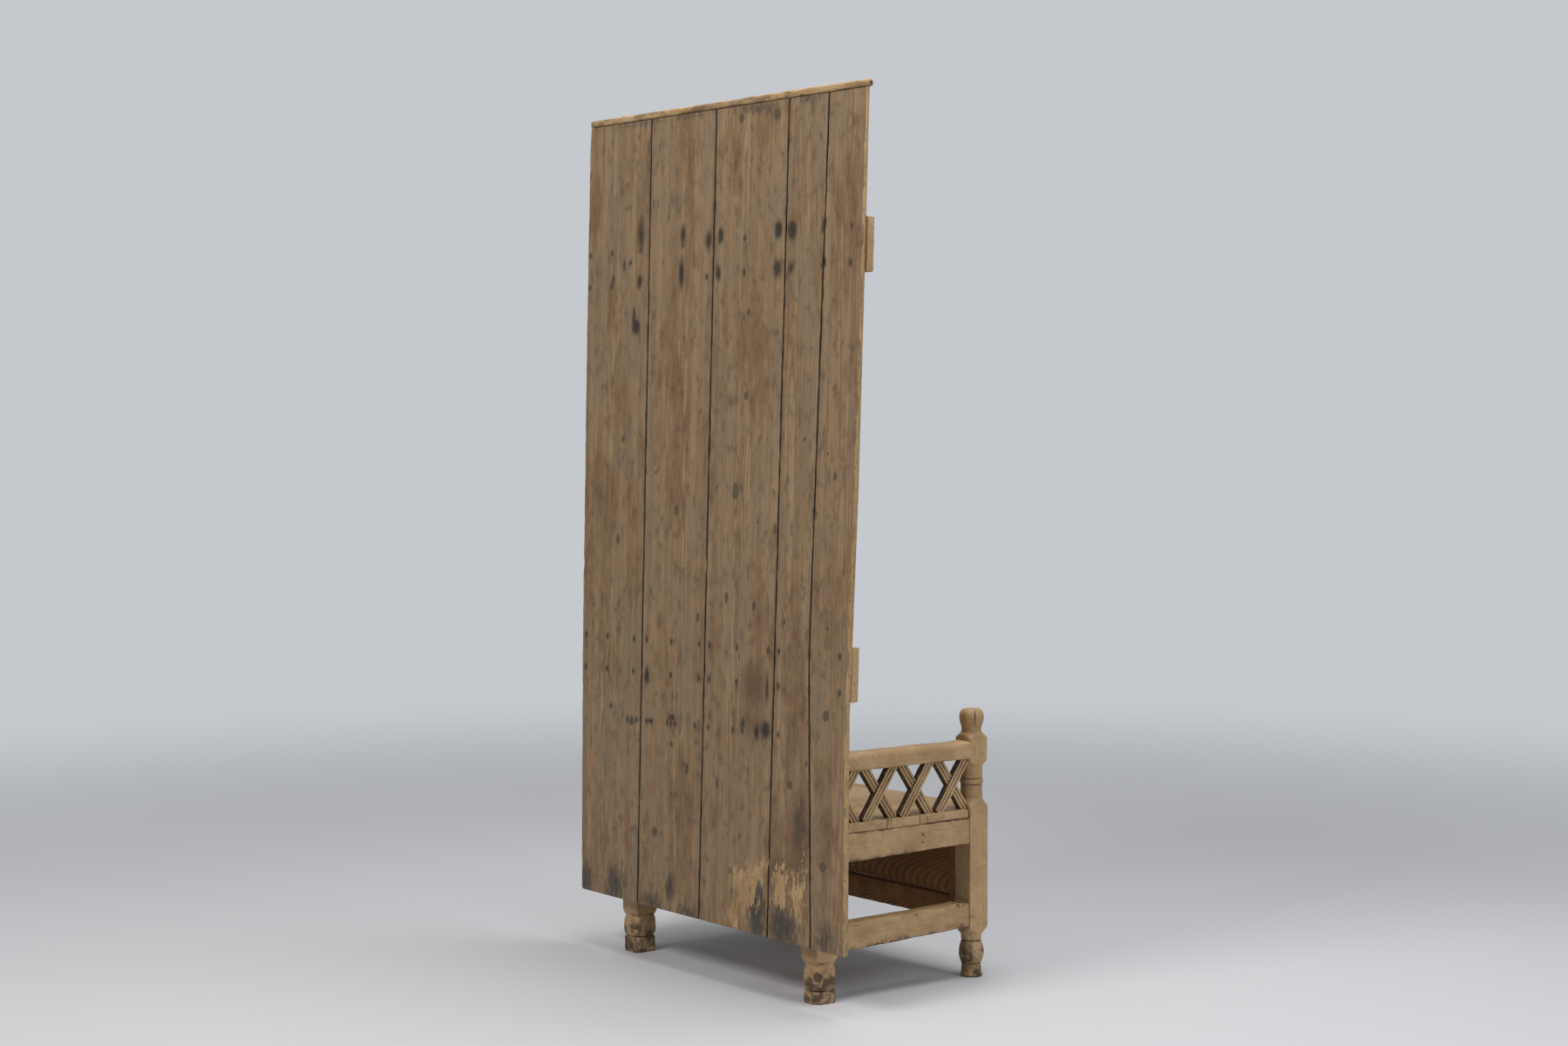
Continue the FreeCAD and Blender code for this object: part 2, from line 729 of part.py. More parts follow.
def plank(number):
    """A tapering plank with a tongue along its right edge and a groove along its left one."""
    left, right = JOINTS[number - 1], JOINTS[number]
    body = new_body(f"top_plank_{number}")
    half_gap = "dims.plank_gap / 2"
    left_edge = shifted(left, f"-{half_gap}" if number > 1 else "0")
    right_edge = shifted(right, half_gap if number < 5 else "0")
    sketch = new_sketch(body, "XZ_Plane")
    outline(sketch, right_edge + left_edge[::-1])
    pad(body, sketch, "dims.plank_thick")
    tongue_low = "(dims.plank_thick - dims.tongue_thick) / 2"
    if number < 5:
        sketch = new_sketch(body, "XZ_Plane", tongue_low)
        outline(sketch, band(right, f"-{half_gap} - dims.tongue_long", f"{half_gap} + dims.tongue_root"))
        pad(body, sketch, "dims.tongue_thick")
    if number > 1:
        sketch = new_sketch(body, "XZ_Plane", tongue_low)
        outline(sketch, band(left, f"-{half_gap} - dims.tongue_long - dims.tongue_gap", "0"))
        pocket(body, sketch, "dims.tongue_thick", along_normal=True)
    # the tongue at the plank's upper end, which the end cleat covers
    tongue_y = (f"-{tongue_low}", f"-{tongue_low} - dims.tongue_thick")
    block(body, "Additive",
          (f"{right[-1][0]} + dims.end_tongue_inset", f"{left[-1][0]} - dims.end_tongue_inset"),
          tongue_y, (f"{UPPER_END} - dims.tongue_root",
                     f"{UPPER_END} + dims.cleat_tall / 2 - dims.tongue_gap"))
    place_on_top(body)


def end_cleat():
    """The rounded strip along the upper ends of the planks, grooved over their tongues."""
    body = new_body("top_end_cleat")
    proud = "(dims.cleat_thick - dims.plank_thick) / 2"
    back = proud
    front = f"{proud} - dims.cleat_thick"
    top = "dims.plank_long + dims.cleat_tall"
    soft = "dims.cleat_round"
    sketch = new_sketch(body, "YZ_Plane", "-dims.cleat_half")
    outline(sketch, [
        (front, "dims.plank_long"),
        (back, "dims.plank_long"),
        (back, f"{top} - {soft}"),
        (f"{back} - {soft}", top, f"{soft} * {QUARTER_BULGE}"),
        (f"{front} + {soft}", top),
        (front, f"{top} - {soft}", f"{soft} * {QUARTER_BULGE}"),
    ])
    pad(body, sketch, "2 * dims.cleat_half")
    tongue_low = "(dims.plank_thick - dims.tongue_thick) / 2"
    block(body, "Subtractive", ("-dims.cleat_half", "dims.cleat_half"),
          (f"-{tongue_low}", f"-{tongue_low} - dims.tongue_thick"),
          ("dims.plank_long", "dims.plank_long + dims.cleat_tall / 2"))
    place_on_top(body)


def batten(label, low, left_x, right_x):
    """A chamfered batten across the underside, its left end a little lower than its right."""
    body = new_body(label)
    wide = f"(({left_x}) - ({right_x}))"
    sketch = new_sketch(body, "XZ_Plane", "dims.plank_thick")
    outline(sketch, [
        (right_x, low),
        (left_x, f"{low} - dims.batten_rise"),
        (left_x, f"{low} - dims.batten_rise + dims.batten_tall"),
        (right_x, f"{low} + dims.batten_tall"),
    ])
    feature = pad(body, sketch, "dims.batten_thick")
    underside = value("-dims.plank_thick - dims.batten_thick")
    long_edges = [
        f"Edge{index}" for index, edge in enumerate(feature.Shape.Edges, start=1)
        if edge.Length > value(wide) - 1 and abs(edge.CenterOfMass.y - underside) < 0.01
    ]
    chamfer = body.newObject("PartDesign::Chamfer", f"{label}_chamfer")
    chamfer.Base = (feature, long_edges)
    chamfer.setExpression("Size", "dims.batten_chamfer")
    place_on_top(body)


def pivot_bar():
    """The bar on the underside that turns between the cheeks, bored for a pin at each end."""
    body = new_body("pivot_bar")
    radius = "dims.pivot_bar_radius"
    underside = "-dims.plank_thick"
    axis_y = "(-dims.plank_thick - dims.pivot_out)"
    sketch = new_sketch(body, "YZ_Plane", "-dims.pivot_bar_half")
    outline(sketch, [
        (underside, f"dims.pivot_up - {radius}"),
        (underside, f"dims.pivot_up + {radius}"),
        (axis_y, f"dims.pivot_up + {radius}"),
        (axis_y, f"dims.pivot_up - {radius}", f"-{radius}"),
    ])
    pad(body, sketch, "2 * dims.pivot_bar_half")
    for start in ("-dims.pivot_bar_half", "dims.pivot_bar_half - dims.pin_seat"):
        bore(body, "Subtractive", "dims.pin_radius", start, "dims.pin_seat", axis_y, "dims.pivot_up")
    place_on_top(body)


def pivot_pins():
    """Two turned pins, each driven into the bar's end through a cheek, with a head outside it."""
    body = new_body("pivot_pins", several_solids=True)
    axis_y = "(-dims.plank_thick - dims.pivot_out)"
    head_start = "(dims.rear_post_x + dims.rear_side / 2 + dims.pin_head_gap)"
    inner_end = "(dims.pivot_bar_half - dims.pin_seat)"
    shank = f"({head_start} - {inner_end})"
    for start, head in ((inner_end, head_start),
                        (f"-{head_start}", f"-{head_start} - dims.pin_head")):
        bore(body, "Additive", "dims.pin_radius", start, shank, axis_y, "dims.pivot_up")
        bore(body, "Additive", "dims.pin_head_radius", head, "dims.pin_head", axis_y, "dims.pivot_up")
    place_on_top(body)


# Fasteners

# Places of the nails across the top, left to right
UPPER_NAILS = (577, 473, 342, 149, 42, -12, -118, -255, -305, -430, -539)
LOWER_NAILS = (562, 460, 335, 275, 165, 42, -4, -120, -248, -292, -414, -530)
BAR_NAILS = (359, 338, 316, 272, 247, 176, 159, 141, 54, -4, -109, -149, -203, -236, -253, -296)
# the height of the pivot bar's row of nails at the middle, and its drop for each millimetre left
BAR_NAIL_HEIGHT = 490
BAR_NAIL_SLOPE = 0.035
# how far each row of nails stands in from the batten's edge
NAIL_EDGE = 22
# places of the nails along each side of the seat, from the rear board to the front one
SEAT_NAILS = (150, 70, 0, -50, -120, -200)
# the ends of the two battens, left and right
UPPER_ENDS = (589, -578)
LOWER_ENDS = (580, -556)


def nails_on_top(label, places, length):
    """Square nails with flat heads, driven through the planks from the back face."""
    body = new_body(label, several_solids=True)
    half = "dims.nail / 2"
    sketch = new_sketch(body, "XZ_Plane")
    for x, z in places:
        outline(sketch, rectangle(f"{x} - {half}", f"{x} + {half}", f"{z} - {half}", f"{z} + {half}"))
    pad(body, sketch, length)
    half = "dims.nail_head / 2"
    sketch = new_sketch(body, "XZ_Plane")
    for x, z in places:
        outline(sketch, rectangle(f"{x} - {half}", f"{x} + {half}", f"{z} - {half}", f"{z} + {half}"))
    pad(body, sketch, "dims.nail_head_proud", backwards=True)
    place_on_top(body)


def batten_rows(positions, low, left_x, right_x):
    """Two rows of nails that follow a batten's slope."""
    fall = value("dims.batten_rise") / (left_x - right_x)
    tall = value("dims.batten_tall")
    base = value(low)
    return [
        (x, round(base - fall * (x - right_x) + height, 1))
        for height in (NAIL_EDGE, tall - NAIL_EDGE) for x in positions
    ]


def octagon(sketch, across, up):
    """A riven peg's eight-sided section about a point."""
    corners = []
    for step in range(8):
        angle = math.radians(22.5 + 45 * step)
        corners.append((f"{across} + dims.peg_radius * {math.cos(angle):.4f}",
                        f"{up} + dims.peg_radius * {math.sin(angle):.4f}"))
    outline(sketch, corners)


def frame_pegs():
    """One peg through each tenon of the frame, its end a little proud of the post."""
    body = new_body("frame_pegs", several_solids=True)
    half_tenon = "dims.tenon_long / 2"
    middles = {name: f"(({low}) + ({high})) / 2" for name, (low, high) in TENONS.items()}
    for side in SIDES.values():
        for post_x, post_side, face, way in (
                ("dims.front_post_x", "dims.front_side", FRONT_FACE, -1),
                ("dims.rear_post_x", "dims.rear_side", REAR_FACE, 1)):
            outer = f"{side} * ({post_x} + {post_side} / 2 + dims.peg_proud)"
            sketch = new_sketch(body, "YZ_Plane", outer)
            for member in SIDE_MEMBERS:
                octagon(sketch, f"{face} + {way} * {half_tenon}", middles[member])
            pad(body, sketch, "dims.side_peg", backwards=side > 0)
    for inner_x, members, outer_y, towards_rear in (
            (FRONT_INNER_X, ("rail", "front_stretcher"),
             "(dims.front_post_y - dims.front_side / 2 - dims.peg_proud)", True),
            (REAR_INNER_X, ("rail", "rear_stretcher"),
             "(dims.rear_post_y + dims.rear_side / 2 + dims.peg_proud)", False)):
        sketch = new_sketch(body, "XZ_Plane", f"-{outer_y}")
        for side in SIDES.values():
            for member in members:
                octagon(sketch, f"{side} * ({inner_x} + {half_tenon})", middles[member])
        pad(body, sketch, "dims.cross_peg", backwards=towards_rear)


def seat_nails():
    """Two square nails through each end of the three seat boards."""
    body = new_body("seat_nails", several_solids=True)
    for size, start, length in (
            ("dims.nail", "dims.seat_height", "dims.seat_nail"),
            ("dims.nail_head", "dims.seat_height - dims.nail_head_proud", "dims.nail_head_proud")):
        half = f"{size} / 2"
        sketch = new_sketch(body, "XY_Plane", start)
        for side in SIDES.values():
            for y in SEAT_NAILS:
                x = f"{side} * dims.side_rail_x"
                outline(sketch, rectangle(f"{x} - {half}", f"{x} + {half}", f"{y} - {half}", f"{y} + {half}"))
        pad(body, sketch, length, backwards=size == "dims.nail")


# Build

for side_name, side_sign in SIDES.items():
    front_post(side_name, side_sign)
    rear_post(side_name, side_sign)
    side_frame(side_name, side_sign)
    for slat_number in (1, 2, 3, 4):
        lattice_slat(side_name, side_sign, slat_number, rising=True)
        lattice_slat(side_name, side_sign, slat_number, rising=False)
front_frame()
rear_frame()
seat()
frame_pegs()
seat_nails()
for plank_number in (1, 2, 3, 4, 5):
    plank(plank_number)
end_cleat()
batten("upper_batten", "dims.upper_batten", *UPPER_ENDS)
batten("lower_batten", "dims.lower_batten", *LOWER_ENDS)
pivot_bar()
pivot_pins()
nails_on_top("upper_batten_nails", batten_rows(UPPER_NAILS, "dims.upper_batten", *UPPER_ENDS),
             "dims.batten_nail")
nails_on_top("lower_batten_nails", batten_rows(LOWER_NAILS, "dims.lower_batten", *LOWER_ENDS),
             "dims.batten_nail")
nails_on_top("pivot_bar_nails",
             [(x, round(BAR_NAIL_HEIGHT - BAR_NAIL_SLOPE * x, 1)) for x in BAR_NAILS],
             "dims.bar_nail")
doc.recompute()

# Check and write
bodies = [item for item in doc.Objects if item.TypeId == "PartDesign::Body"]
for item in doc.Objects:
    if "Invalid" in item.State or "Error" in item.State:
        raise ValueError(f"{item.Label} failed: {item.State}")
os.makedirs("parts", exist_ok=True)
for body in bodies:
    shape = body.Shape
    if shape.isNull() or not shape.isValid() or shape.Volume <= 0:
        raise ValueError(f"{body.Label} is not a valid solid")
for body in bodies:
    body.Shape.exportStep(f"parts/{body.Label}.step")
whole = FreeCAD.BoundBox()
for body in bodies:
    whole.add(body.Shape.BoundBox)
print(len(bodies), "sub-parts")
print("box", [round(number, 2) for number in (whole.XMin, whole.YMin, whole.ZMin,
                                              whole.XMax, whole.YMax, whole.ZMax)])
print("pivot", round(value(PIVOT_Y), 3), round(value(PIVOT_Z), 3))
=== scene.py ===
# %% [markdown]
# # A monks bench in worn paint and bare pine
#
# The bench is a seat with arms. Its tall back is a table top that tips forward on a pivot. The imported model
# gives every piece its size and place, and this script gives each one its surface: hand-worked edges, turned
# feet, reeded slats, and two finishes, old cream paint and bare weathered pine.

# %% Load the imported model
import bpy
import json
import numpy as np
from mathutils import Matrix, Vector


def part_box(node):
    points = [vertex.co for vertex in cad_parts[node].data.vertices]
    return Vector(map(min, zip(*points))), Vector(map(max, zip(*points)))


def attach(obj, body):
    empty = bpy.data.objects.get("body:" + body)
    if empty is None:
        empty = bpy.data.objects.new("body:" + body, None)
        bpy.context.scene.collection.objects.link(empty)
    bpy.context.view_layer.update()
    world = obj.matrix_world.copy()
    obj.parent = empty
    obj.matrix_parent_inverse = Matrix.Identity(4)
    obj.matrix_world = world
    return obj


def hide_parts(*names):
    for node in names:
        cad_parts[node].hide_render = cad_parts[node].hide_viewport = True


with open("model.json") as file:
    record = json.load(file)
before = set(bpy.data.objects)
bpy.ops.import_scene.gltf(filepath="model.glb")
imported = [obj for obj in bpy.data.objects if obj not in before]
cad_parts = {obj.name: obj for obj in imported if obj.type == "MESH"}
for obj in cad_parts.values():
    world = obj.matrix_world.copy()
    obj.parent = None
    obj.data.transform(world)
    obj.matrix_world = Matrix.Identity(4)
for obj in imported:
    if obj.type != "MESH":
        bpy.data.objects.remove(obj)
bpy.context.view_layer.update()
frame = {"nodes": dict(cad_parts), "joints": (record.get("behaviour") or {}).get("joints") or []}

# %% [markdown]
# ## Camera
#
# The bench is seen from behind and from its right, from far away with a long lens, so upright edges stay
# almost parallel. A photographer would set a tripod at chest height and aim slightly down.

# %% Camera


def add_object(name, data):
    """A new object that shows the data, linked to the scene."""
    thing = bpy.data.objects.new(name, data)
    bpy.context.scene.collection.objects.link(thing)
    return thing


camera_data = bpy.data.cameras.new("camera")
camera_data.sensor_width = 36
camera_data.lens = 60.966
camera = add_object("camera", camera_data)
camera.location = (-5.419, 4.1613, 1.454)
camera.rotation_euler = np.radians((87.3966, 0.1372, -127.2778))
bpy.context.scene.camera = camera
print("camera at", tuple(round(value, 2) for value in camera.location))

# %% [markdown]
# ## Node helpers
#
# Both finishes are made of the same few steps: noise, soft thresholds and colour mixes. Small functions with
# plain names keep a material readable, where the node editor's full names would bury it.

# %% Node helpers


def add(tree, kind, inputs=None, **settings):
    """A shader node: settings by name, and inputs that are either plain values or other nodes' sockets."""
    node = tree.nodes.new(f"ShaderNode{kind}")
    for name, value in settings.items():
        setattr(node, name, value)
    for name, value in (inputs or {}).items():
        if isinstance(value, bpy.types.NodeSocket):
            tree.links.new(value, node.inputs[name])
        else:
            node.inputs[name].default_value = value
    return node


def calc(tree, operation, first, second=0.0):
    """The result of a Math node."""
    return add(tree, "Math", {0: first, 1: second}, operation=operation).outputs[0]


def fade(tree, value, low, high, start=0.0, end=1.0):
    """A smooth step of the value, from start at low to end at high."""
    return add(tree, "MapRange", {0: value, 1: low, 2: high, 3: start, 4: end},
               interpolation_type="SMOOTHSTEP").outputs[0]


def mix(tree, factor, first, second, blend_type="MIX"):
    """A mix of two colours."""
    node = add(tree, "Mix", {0: factor, 6: first, 7: second}, data_type="RGBA", blend_type=blend_type)
    return node.outputs[2]


def coats(tree, colour, layers):
    """A colour under layers of others, each given as where it covers and its own colour."""
    for cover, tone in layers:
        colour = mix(tree, cover, colour, tone)
    return colour


def mix_numbers(tree, factor, first, second):
    """A mix of two numbers."""
    return add(tree, "Mix", {0: factor, 2: first, 3: second}).outputs[0]


def product(tree, first, second):
    """One number times another."""
    return calc(tree, "MULTIPLY", first, second)


def plus(tree, first, second, share=1.0):
    """A number plus a share of another."""
    return calc(tree, "ADD", first, second if share == 1.0 else product(tree, second, share))


def noise(tree, where, scale, detail=3.0, roughness=0.5, twist=0.0):
    """Noise from 0 to 1 at so many features a metre."""
    node = add(tree, "TexNoise", {"Vector": where, "Scale": scale, "Detail": detail,
                                  "Roughness": roughness, "Distortion": twist})
    return node.outputs[0]


def streaks(tree, where, across, along, detail, roughness=0.5):
    """Noise with so many features a metre across the grain, and so many along it."""
    drawn = add(tree, "VectorMath", {0: where, 1: (across, across, along)}, operation="MULTIPLY").outputs[0]
    return noise(tree, drawn, 1, detail, roughness)


def specks(tree, where, scale, size):
    """1 inside scattered round specks, at most one in each cell of the scale, 0 between them."""
    cells = add(tree, "TexVoronoi", {"Vector": where, "Scale": scale}).outputs["Distance"]
    return fade(tree, cells, size, size * 0.55)


def attribute(tree, name):
    """A number that the mesh carries at each vertex."""
    return add(tree, "Attribute", attribute_name=name).outputs["Fac"]


print("node helpers are ready")

# %% [markdown]
# ## Old cream paint
#
# The frame was painted long ago and has been rubbed for years. The paint is thick and slightly shiny where
# hands and clothes polish it. It has lost chips along its edges, shows dark worm holes and specks, and is
# nearly worn away at the feet. A picture could be wrapped round each piece, but procedural noise never
# repeats and fits every piece at its true scale. Each mesh says how exposed a place is (wear) and how much
# dirt gathers there, and on the slats' sides and backs the same number is painted shade; noise decides what
# that does to the paint.

# %% Old cream paint
CREAM = (0.418, 0.279, 0.138, 1)
BUFF = (0.315, 0.198, 0.092, 1)
OCHRE = (0.285, 0.160, 0.066, 1)
BARE_DARK = (0.045, 0.027, 0.016, 1)
BARE_BROWN = (0.125, 0.072, 0.036, 1)
SOOT = (0.018, 0.013, 0.010, 1)


def paint_look(tree, where, wear, soil_and_shade):
    """Colour, roughness and height of chipped, speckled cream paint.

    A dirt mark up to 1 smudges the paint, and above 1 it stands for a groove packed with old dirt; on the
    slats' sides and backs this darkening is painted shade.
    """
    patches = noise(tree, where, 9, 4, 0.55)
    brushed = streaks(tree, where, 160, 9, 3)
    mottled = noise(tree, where, 48, 5, 0.6)
    colour = mix(tree, fade(tree, patches, 0.38, 0.66), CREAM, BUFF)
    colour = coats(tree, colour, [
        (fade(tree, brushed, 0.45, 0.75, 0, 0.5), OCHRE),
        (fade(tree, mottled, 0.48, 0.70, 0, 0.55), OCHRE),
    ])
    smudge_and_shade = product(tree, soil_and_shade, fade(tree, noise(tree, where, 30, 6, 0.62), 0.40, 0.62))
    colour = mix(tree, fade(tree, smudge_and_shade, 0.10, 0.95, 0, 0.9), colour, BARE_DARK)
    exposed = plus(tree, product(tree, wear, 0.13), soil_and_shade, 0.10)
    crumble = plus(tree, noise(tree, where, 130, 8, 0.62, 0.4), exposed)
    chips = fade(tree, crumble, 0.70, 0.73)
    dots = product(tree, specks(tree, where, 240, 0.24), fade(tree, noise(tree, where, 26, 3), 0.46, 0.58))
    holes = product(tree, specks(tree, where, 70, 0.11), fade(tree, noise(tree, where, 11, 2), 0.44, 0.56))
    bare = mix(tree, fade(tree, noise(tree, where, 140, 3), 0.4, 0.65), BARE_DARK, BARE_BROWN)
    colour = mix(tree, chips, colour, bare)
    marks = calc(tree, "MAXIMUM", dots, holes)
    colour = mix(tree, product(tree, marks, 0.8), colour, SOOT)
    # Above 1 the mark turns the paint to the dark of bare wood: old dirt in grooves, and painted shade on the
    # slats' sides and backs.
    packed = plus(tree, soil_and_shade, plus(tree, mottled, -0.5), 0.5)
    dirt_and_shade_fill = fade(tree, packed, 1.0, 1.3)
    colour = mix(tree, product(tree, dirt_and_shade_fill, 0.93), colour, bare)
    gone = calc(tree, "MAXIMUM", chips, calc(tree, "MAXIMUM", marks, dirt_and_shade_fill))
    rough = plus(tree, fade(tree, patches, 0.3, 0.7, 0.46, 0.62), gone, 0.3)
    height = plus(tree, product(tree, brushed, 0.12), gone, -1)
    return colour, rough, height


print("cream paint:", CREAM[:3])

# %% [markdown]
# ## Weathered pine
#
# The planks are bare pine. A flat-sawn plank cuts through a slightly tapered log, so its year rings show as
# stacked arches in the middle and as straight lines at the sides. The same thing is done here: the distance
# from the log's heart, less a little for each metre of height, goes into a sine wave. The mesh adds a bulge
# to that distance round each knot, so the lines flow past it, and says where iron has stained the wood.

# %% Weathered pine
PINE_PALE = (0.315, 0.210, 0.115, 1)
PINE = (0.205, 0.129, 0.066, 1)
PINE_RED = (0.165, 0.097, 0.046, 1)
PINE_DARK = (0.085, 0.049, 0.024, 1)
PINE_GREY = (0.205, 0.157, 0.098, 1)
KNOT_DARK = (0.040, 0.029, 0.021, 1)
KNOT_GREY = (0.105, 0.083, 0.062, 1)
IRON_STAIN = (0.030, 0.022, 0.016, 1)
DAMP = (0.042, 0.038, 0.034, 1)
RUST = (0.105, 0.054, 0.027, 1)
RING_WIDTH = 0.0072
FULL_TURN = 6.283


def pine_look(tree, where):
    """Colour, roughness and height of bare pine with arched year rings, knots and stains."""
    part = add(tree, "SeparateXYZ", {0: where}).outputs
    heart = calc(tree, "SQRT", plus(tree, calc(tree, "POWER", part[0], 2.0), 0.0009))
    wander = streaks(tree, where, 5, 1.1, 2)
    ring = plus(tree, heart, wander, 0.045)
    ring = plus(tree, ring, part[2], -0.012)
    ring = plus(tree, ring, attribute(tree, "swirl"), 0.012)
    wave = calc(tree, "SINE", product(tree, ring, FULL_TURN / RING_WIDTH))
    late = fade(tree, wave, 0.1, 0.95)
    fibre = streaks(tree, where, 520, 11, 4, 0.62)
    streak = streaks(tree, where, 60, 2.0, 5, 0.62)
    cloud = streaks(tree, where, 10, 3.2, 5, 0.62)
    mottle = streaks(tree, where, 44, 24, 5, 0.66)
    colour = mix(tree, fade(tree, streak, 0.36, 0.66), PINE, PINE_PALE)
    colour = coats(tree, colour, [
        (fade(tree, cloud, 0.46, 0.64, 0, 0.7), PINE_GREY),
        (fade(tree, cloud, 0.50, 0.34, 0, 0.8), PINE_RED),
        (fade(tree, mottle, 0.50, 0.70, 0, 0.6), PINE_DARK),
        (fade(tree, mottle, 0.48, 0.30, 0, 0.35), PINE_PALE),
    ])
    ringed = product(tree, late, fade(tree, streak, 0.3, 0.7, 0.18, 0.50))
    colour = coats(tree, colour, [
        (ringed, PINE_DARK),
        (fade(tree, fibre, 0.5, 0.74, 0, 0.55), PINE_DARK),
    ])
    ragged = plus(tree, streaks(tree, where, 110, 34, 6, 0.66), -0.5)

    def soaked(name, low, high, most=1.0, tear=0.75):
        """Where a stain's strength, made ragged along the grain, passes from low to high."""
        spread = plus(tree, attribute(tree, name), ragged, tear)
        return fade(tree, spread, low, high, 0, most)

    colour = coats(tree, colour, [
        (soaked("rust", 0.10, 1.05, 0.85), RUST),
        (soaked("damp", 0.20, 0.85, 0.9, 1.6), DAMP),
        (soaked("knot", 0.30, 0.62, 0.75, 0.4), KNOT_DARK),
        (soaked("knot", 0.62, 0.80, 0.6, 0.4), KNOT_GREY),
        (soaked("stain", 0.10, 0.85, 0.96, 0.5), IRON_STAIN),
        (soaked("seam", 0.30, 0.75, 0.93, 0.5), SOOT),
    ])
    rough = fade(tree, streak, 0.3, 0.7, 0.62, 0.8)
    height = plus(tree, product(tree, late, 0.3), fibre, -0.5)
    return colour, rough, height


print("year rings", RING_WIDTH * 1000, "mm apart")

# %% [markdown]
# ## From looks to materials
#
# A material needs coordinates. A stick's grain runs along the stick, so each new mesh carries its own
# coordinates, across, through and along the grain, in metres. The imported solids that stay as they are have
# no such attribute and use Object coordinates instead. The boards round the seat's box are of dark, flat-sawn
# wood, whose year rings are parabolas, and iron is near black with a brown bloom.

# %% Materials


def surface_of(name, look, relief=0.0007, own_grain=True, sheen=0.5):
    """A Principled material from a function that gives colour, roughness and height."""
    material = bpy.data.materials.new(name)
    material.use_nodes = True
    tree = material.node_tree
    shader = tree.nodes["Principled BSDF"]
    if own_grain:
        where = add(tree, "Attribute", attribute_name="grain").outputs["Vector"]
    else:
        where = add(tree, "TexCoord").outputs["Object"]
    colour, rough, height = look(tree, where)
    bump = add(tree, "Bump", {"Height": height, "Distance": relief, "Strength": 0.8})
    tree.links.new(colour, shader.inputs["Base Color"])
    tree.links.new(rough, shader.inputs["Roughness"])
    tree.links.new(bump.outputs["Normal"], shader.inputs["Normal"])
    shader.inputs["Specular IOR Level"].default_value = sheen
    return material


def painted(tree, where):
    """Cream paint that wears where the mesh says."""
    return paint_look(tree, where, attribute(tree, "wear"), attribute(tree, "soil_and_shade"))


def half_stripped(tree, where):
    """Bare pine that keeps its paint where the mesh says, with a ragged, flaking border."""
    pine = pine_look(tree, where)
    paint = painted(tree, where)
    flakes = streaks(tree, where, 75, 26, 7, 0.66)
    kept = plus(tree, attribute(tree, "paint"), plus(tree, flakes, -0.5), 1.7)
    mask = fade(tree, kept, 0.46, 0.54)
    colour = mix(tree, mask, pine[0], paint[0])
    # Cream where the mesh marks pale edges; on the end cleat this is a painted highlight along its rounded
    # edges.
    edge = product(tree, attribute(tree, "pale"), fade(tree, flakes, 0.42, 0.62))
    colour = mix(tree, product(tree, edge, 0.6), colour, CREAM)
    rough = mix_numbers(tree, mask, pine[1], paint[1])
    height = plus(tree, mix_numbers(tree, mask, pine[2], paint[2]), mask, 0.6)
    return colour, rough, height


def iron(tree, where):
    """Rusted wrought iron: near black, with brown bloom."""
    bloom = noise(tree, where, 420, 4)
    colour = mix(tree, fade(tree, bloom, 0.45, 0.7), (0.022, 0.019, 0.017, 1), (0.10, 0.052, 0.028, 1))
    return colour, fade(tree, bloom, 0.3, 0.7, 0.5, 0.85), bloom


DARK_BROWN = (0.270, 0.118, 0.036, 1)
DARK_AMBER = (0.370, 0.178, 0.056, 1)
DARK_LATE = (0.105, 0.046, 0.017, 1)
DARK_RING_WIDTH = 0.0045


def dark_board(tree, where):
    """Brown wood that never saw daylight, with broad arched grain, and cream paint on its outer face."""
    part = add(tree, "SeparateXYZ", {0: where}).outputs
    sway = streaks(tree, where, 9, 2.2, 3)
    across = plus(tree, part[0], sway, 0.05)
    bowl = product(tree, calc(tree, "POWER", across, 2.0), 5.0)
    arch = plus(tree, bowl, part[2], 0.16)
    wave = calc(tree, "SINE", product(tree, arch, FULL_TURN / DARK_RING_WIDTH))
    fibre = streaks(tree, where, 300, 9, 4, 0.6)
    colour = mix(tree, fade(tree, sway, 0.35, 0.65), DARK_BROWN, DARK_AMBER)
    colour = coats(tree, colour, [
        (fade(tree, wave, -0.1, 0.9, 0, 0.55), DARK_LATE),
        (fade(tree, fibre, 0.5, 0.75, 0, 0.6), DARK_LATE),
    ])
    grime = fade(tree, noise(tree, where, 26, 5, 0.6), 0.35, 0.65)
    dirt = product(tree, attribute(tree, "soil_and_shade"), grime)
    colour = mix(tree, product(tree, dirt, 0.8), colour, SOOT)
    paint = painted(tree, where)
    outside = attribute(tree, "paint")
    colour = mix(tree, outside, colour, paint[0])
    rough = mix_numbers(tree, outside, fade(tree, fibre, 0.3, 0.7, 0.6, 0.8), paint[1])
    height = mix_numbers(tree, outside, product(tree, fibre, -0.5), paint[2])
    return colour, rough, height


def plain_paint(tree, where):
    """Cream paint on a solid that carries no wear of its own."""
    value = add(tree, "Value")
    value.outputs[0].default_value = 0.25
    return paint_look(tree, where, value.outputs[0], value.outputs[0])


PAINT = surface_of("old_cream_paint", painted)
PINE_BOARD = surface_of("weathered_pine", half_stripped, 0.0006, sheen=0.35)
DARK = surface_of("dark_reddish_wood", dark_board, 0.0005, sheen=0.3)
SOLID_PAINT = surface_of("old_paint_on_pegs", plain_paint, own_grain=False)
IRON = surface_of("rusted_iron", iron, 0.0002, own_grain=False)
print("materials:", [material.name for material in bpy.data.materials if material.users])

# %% [markdown]
# ## A surface from rings
#
# Almost every piece is a stick or a board: a closed outline carried along a length. So one function turns an
# array of rings into a mesh: it joins each ring to the next with quads, closes the two ends with fans, and
# turns the faces outward by the sign of the volume. Everything about the shape is in the array.

# %% Rings to mesh


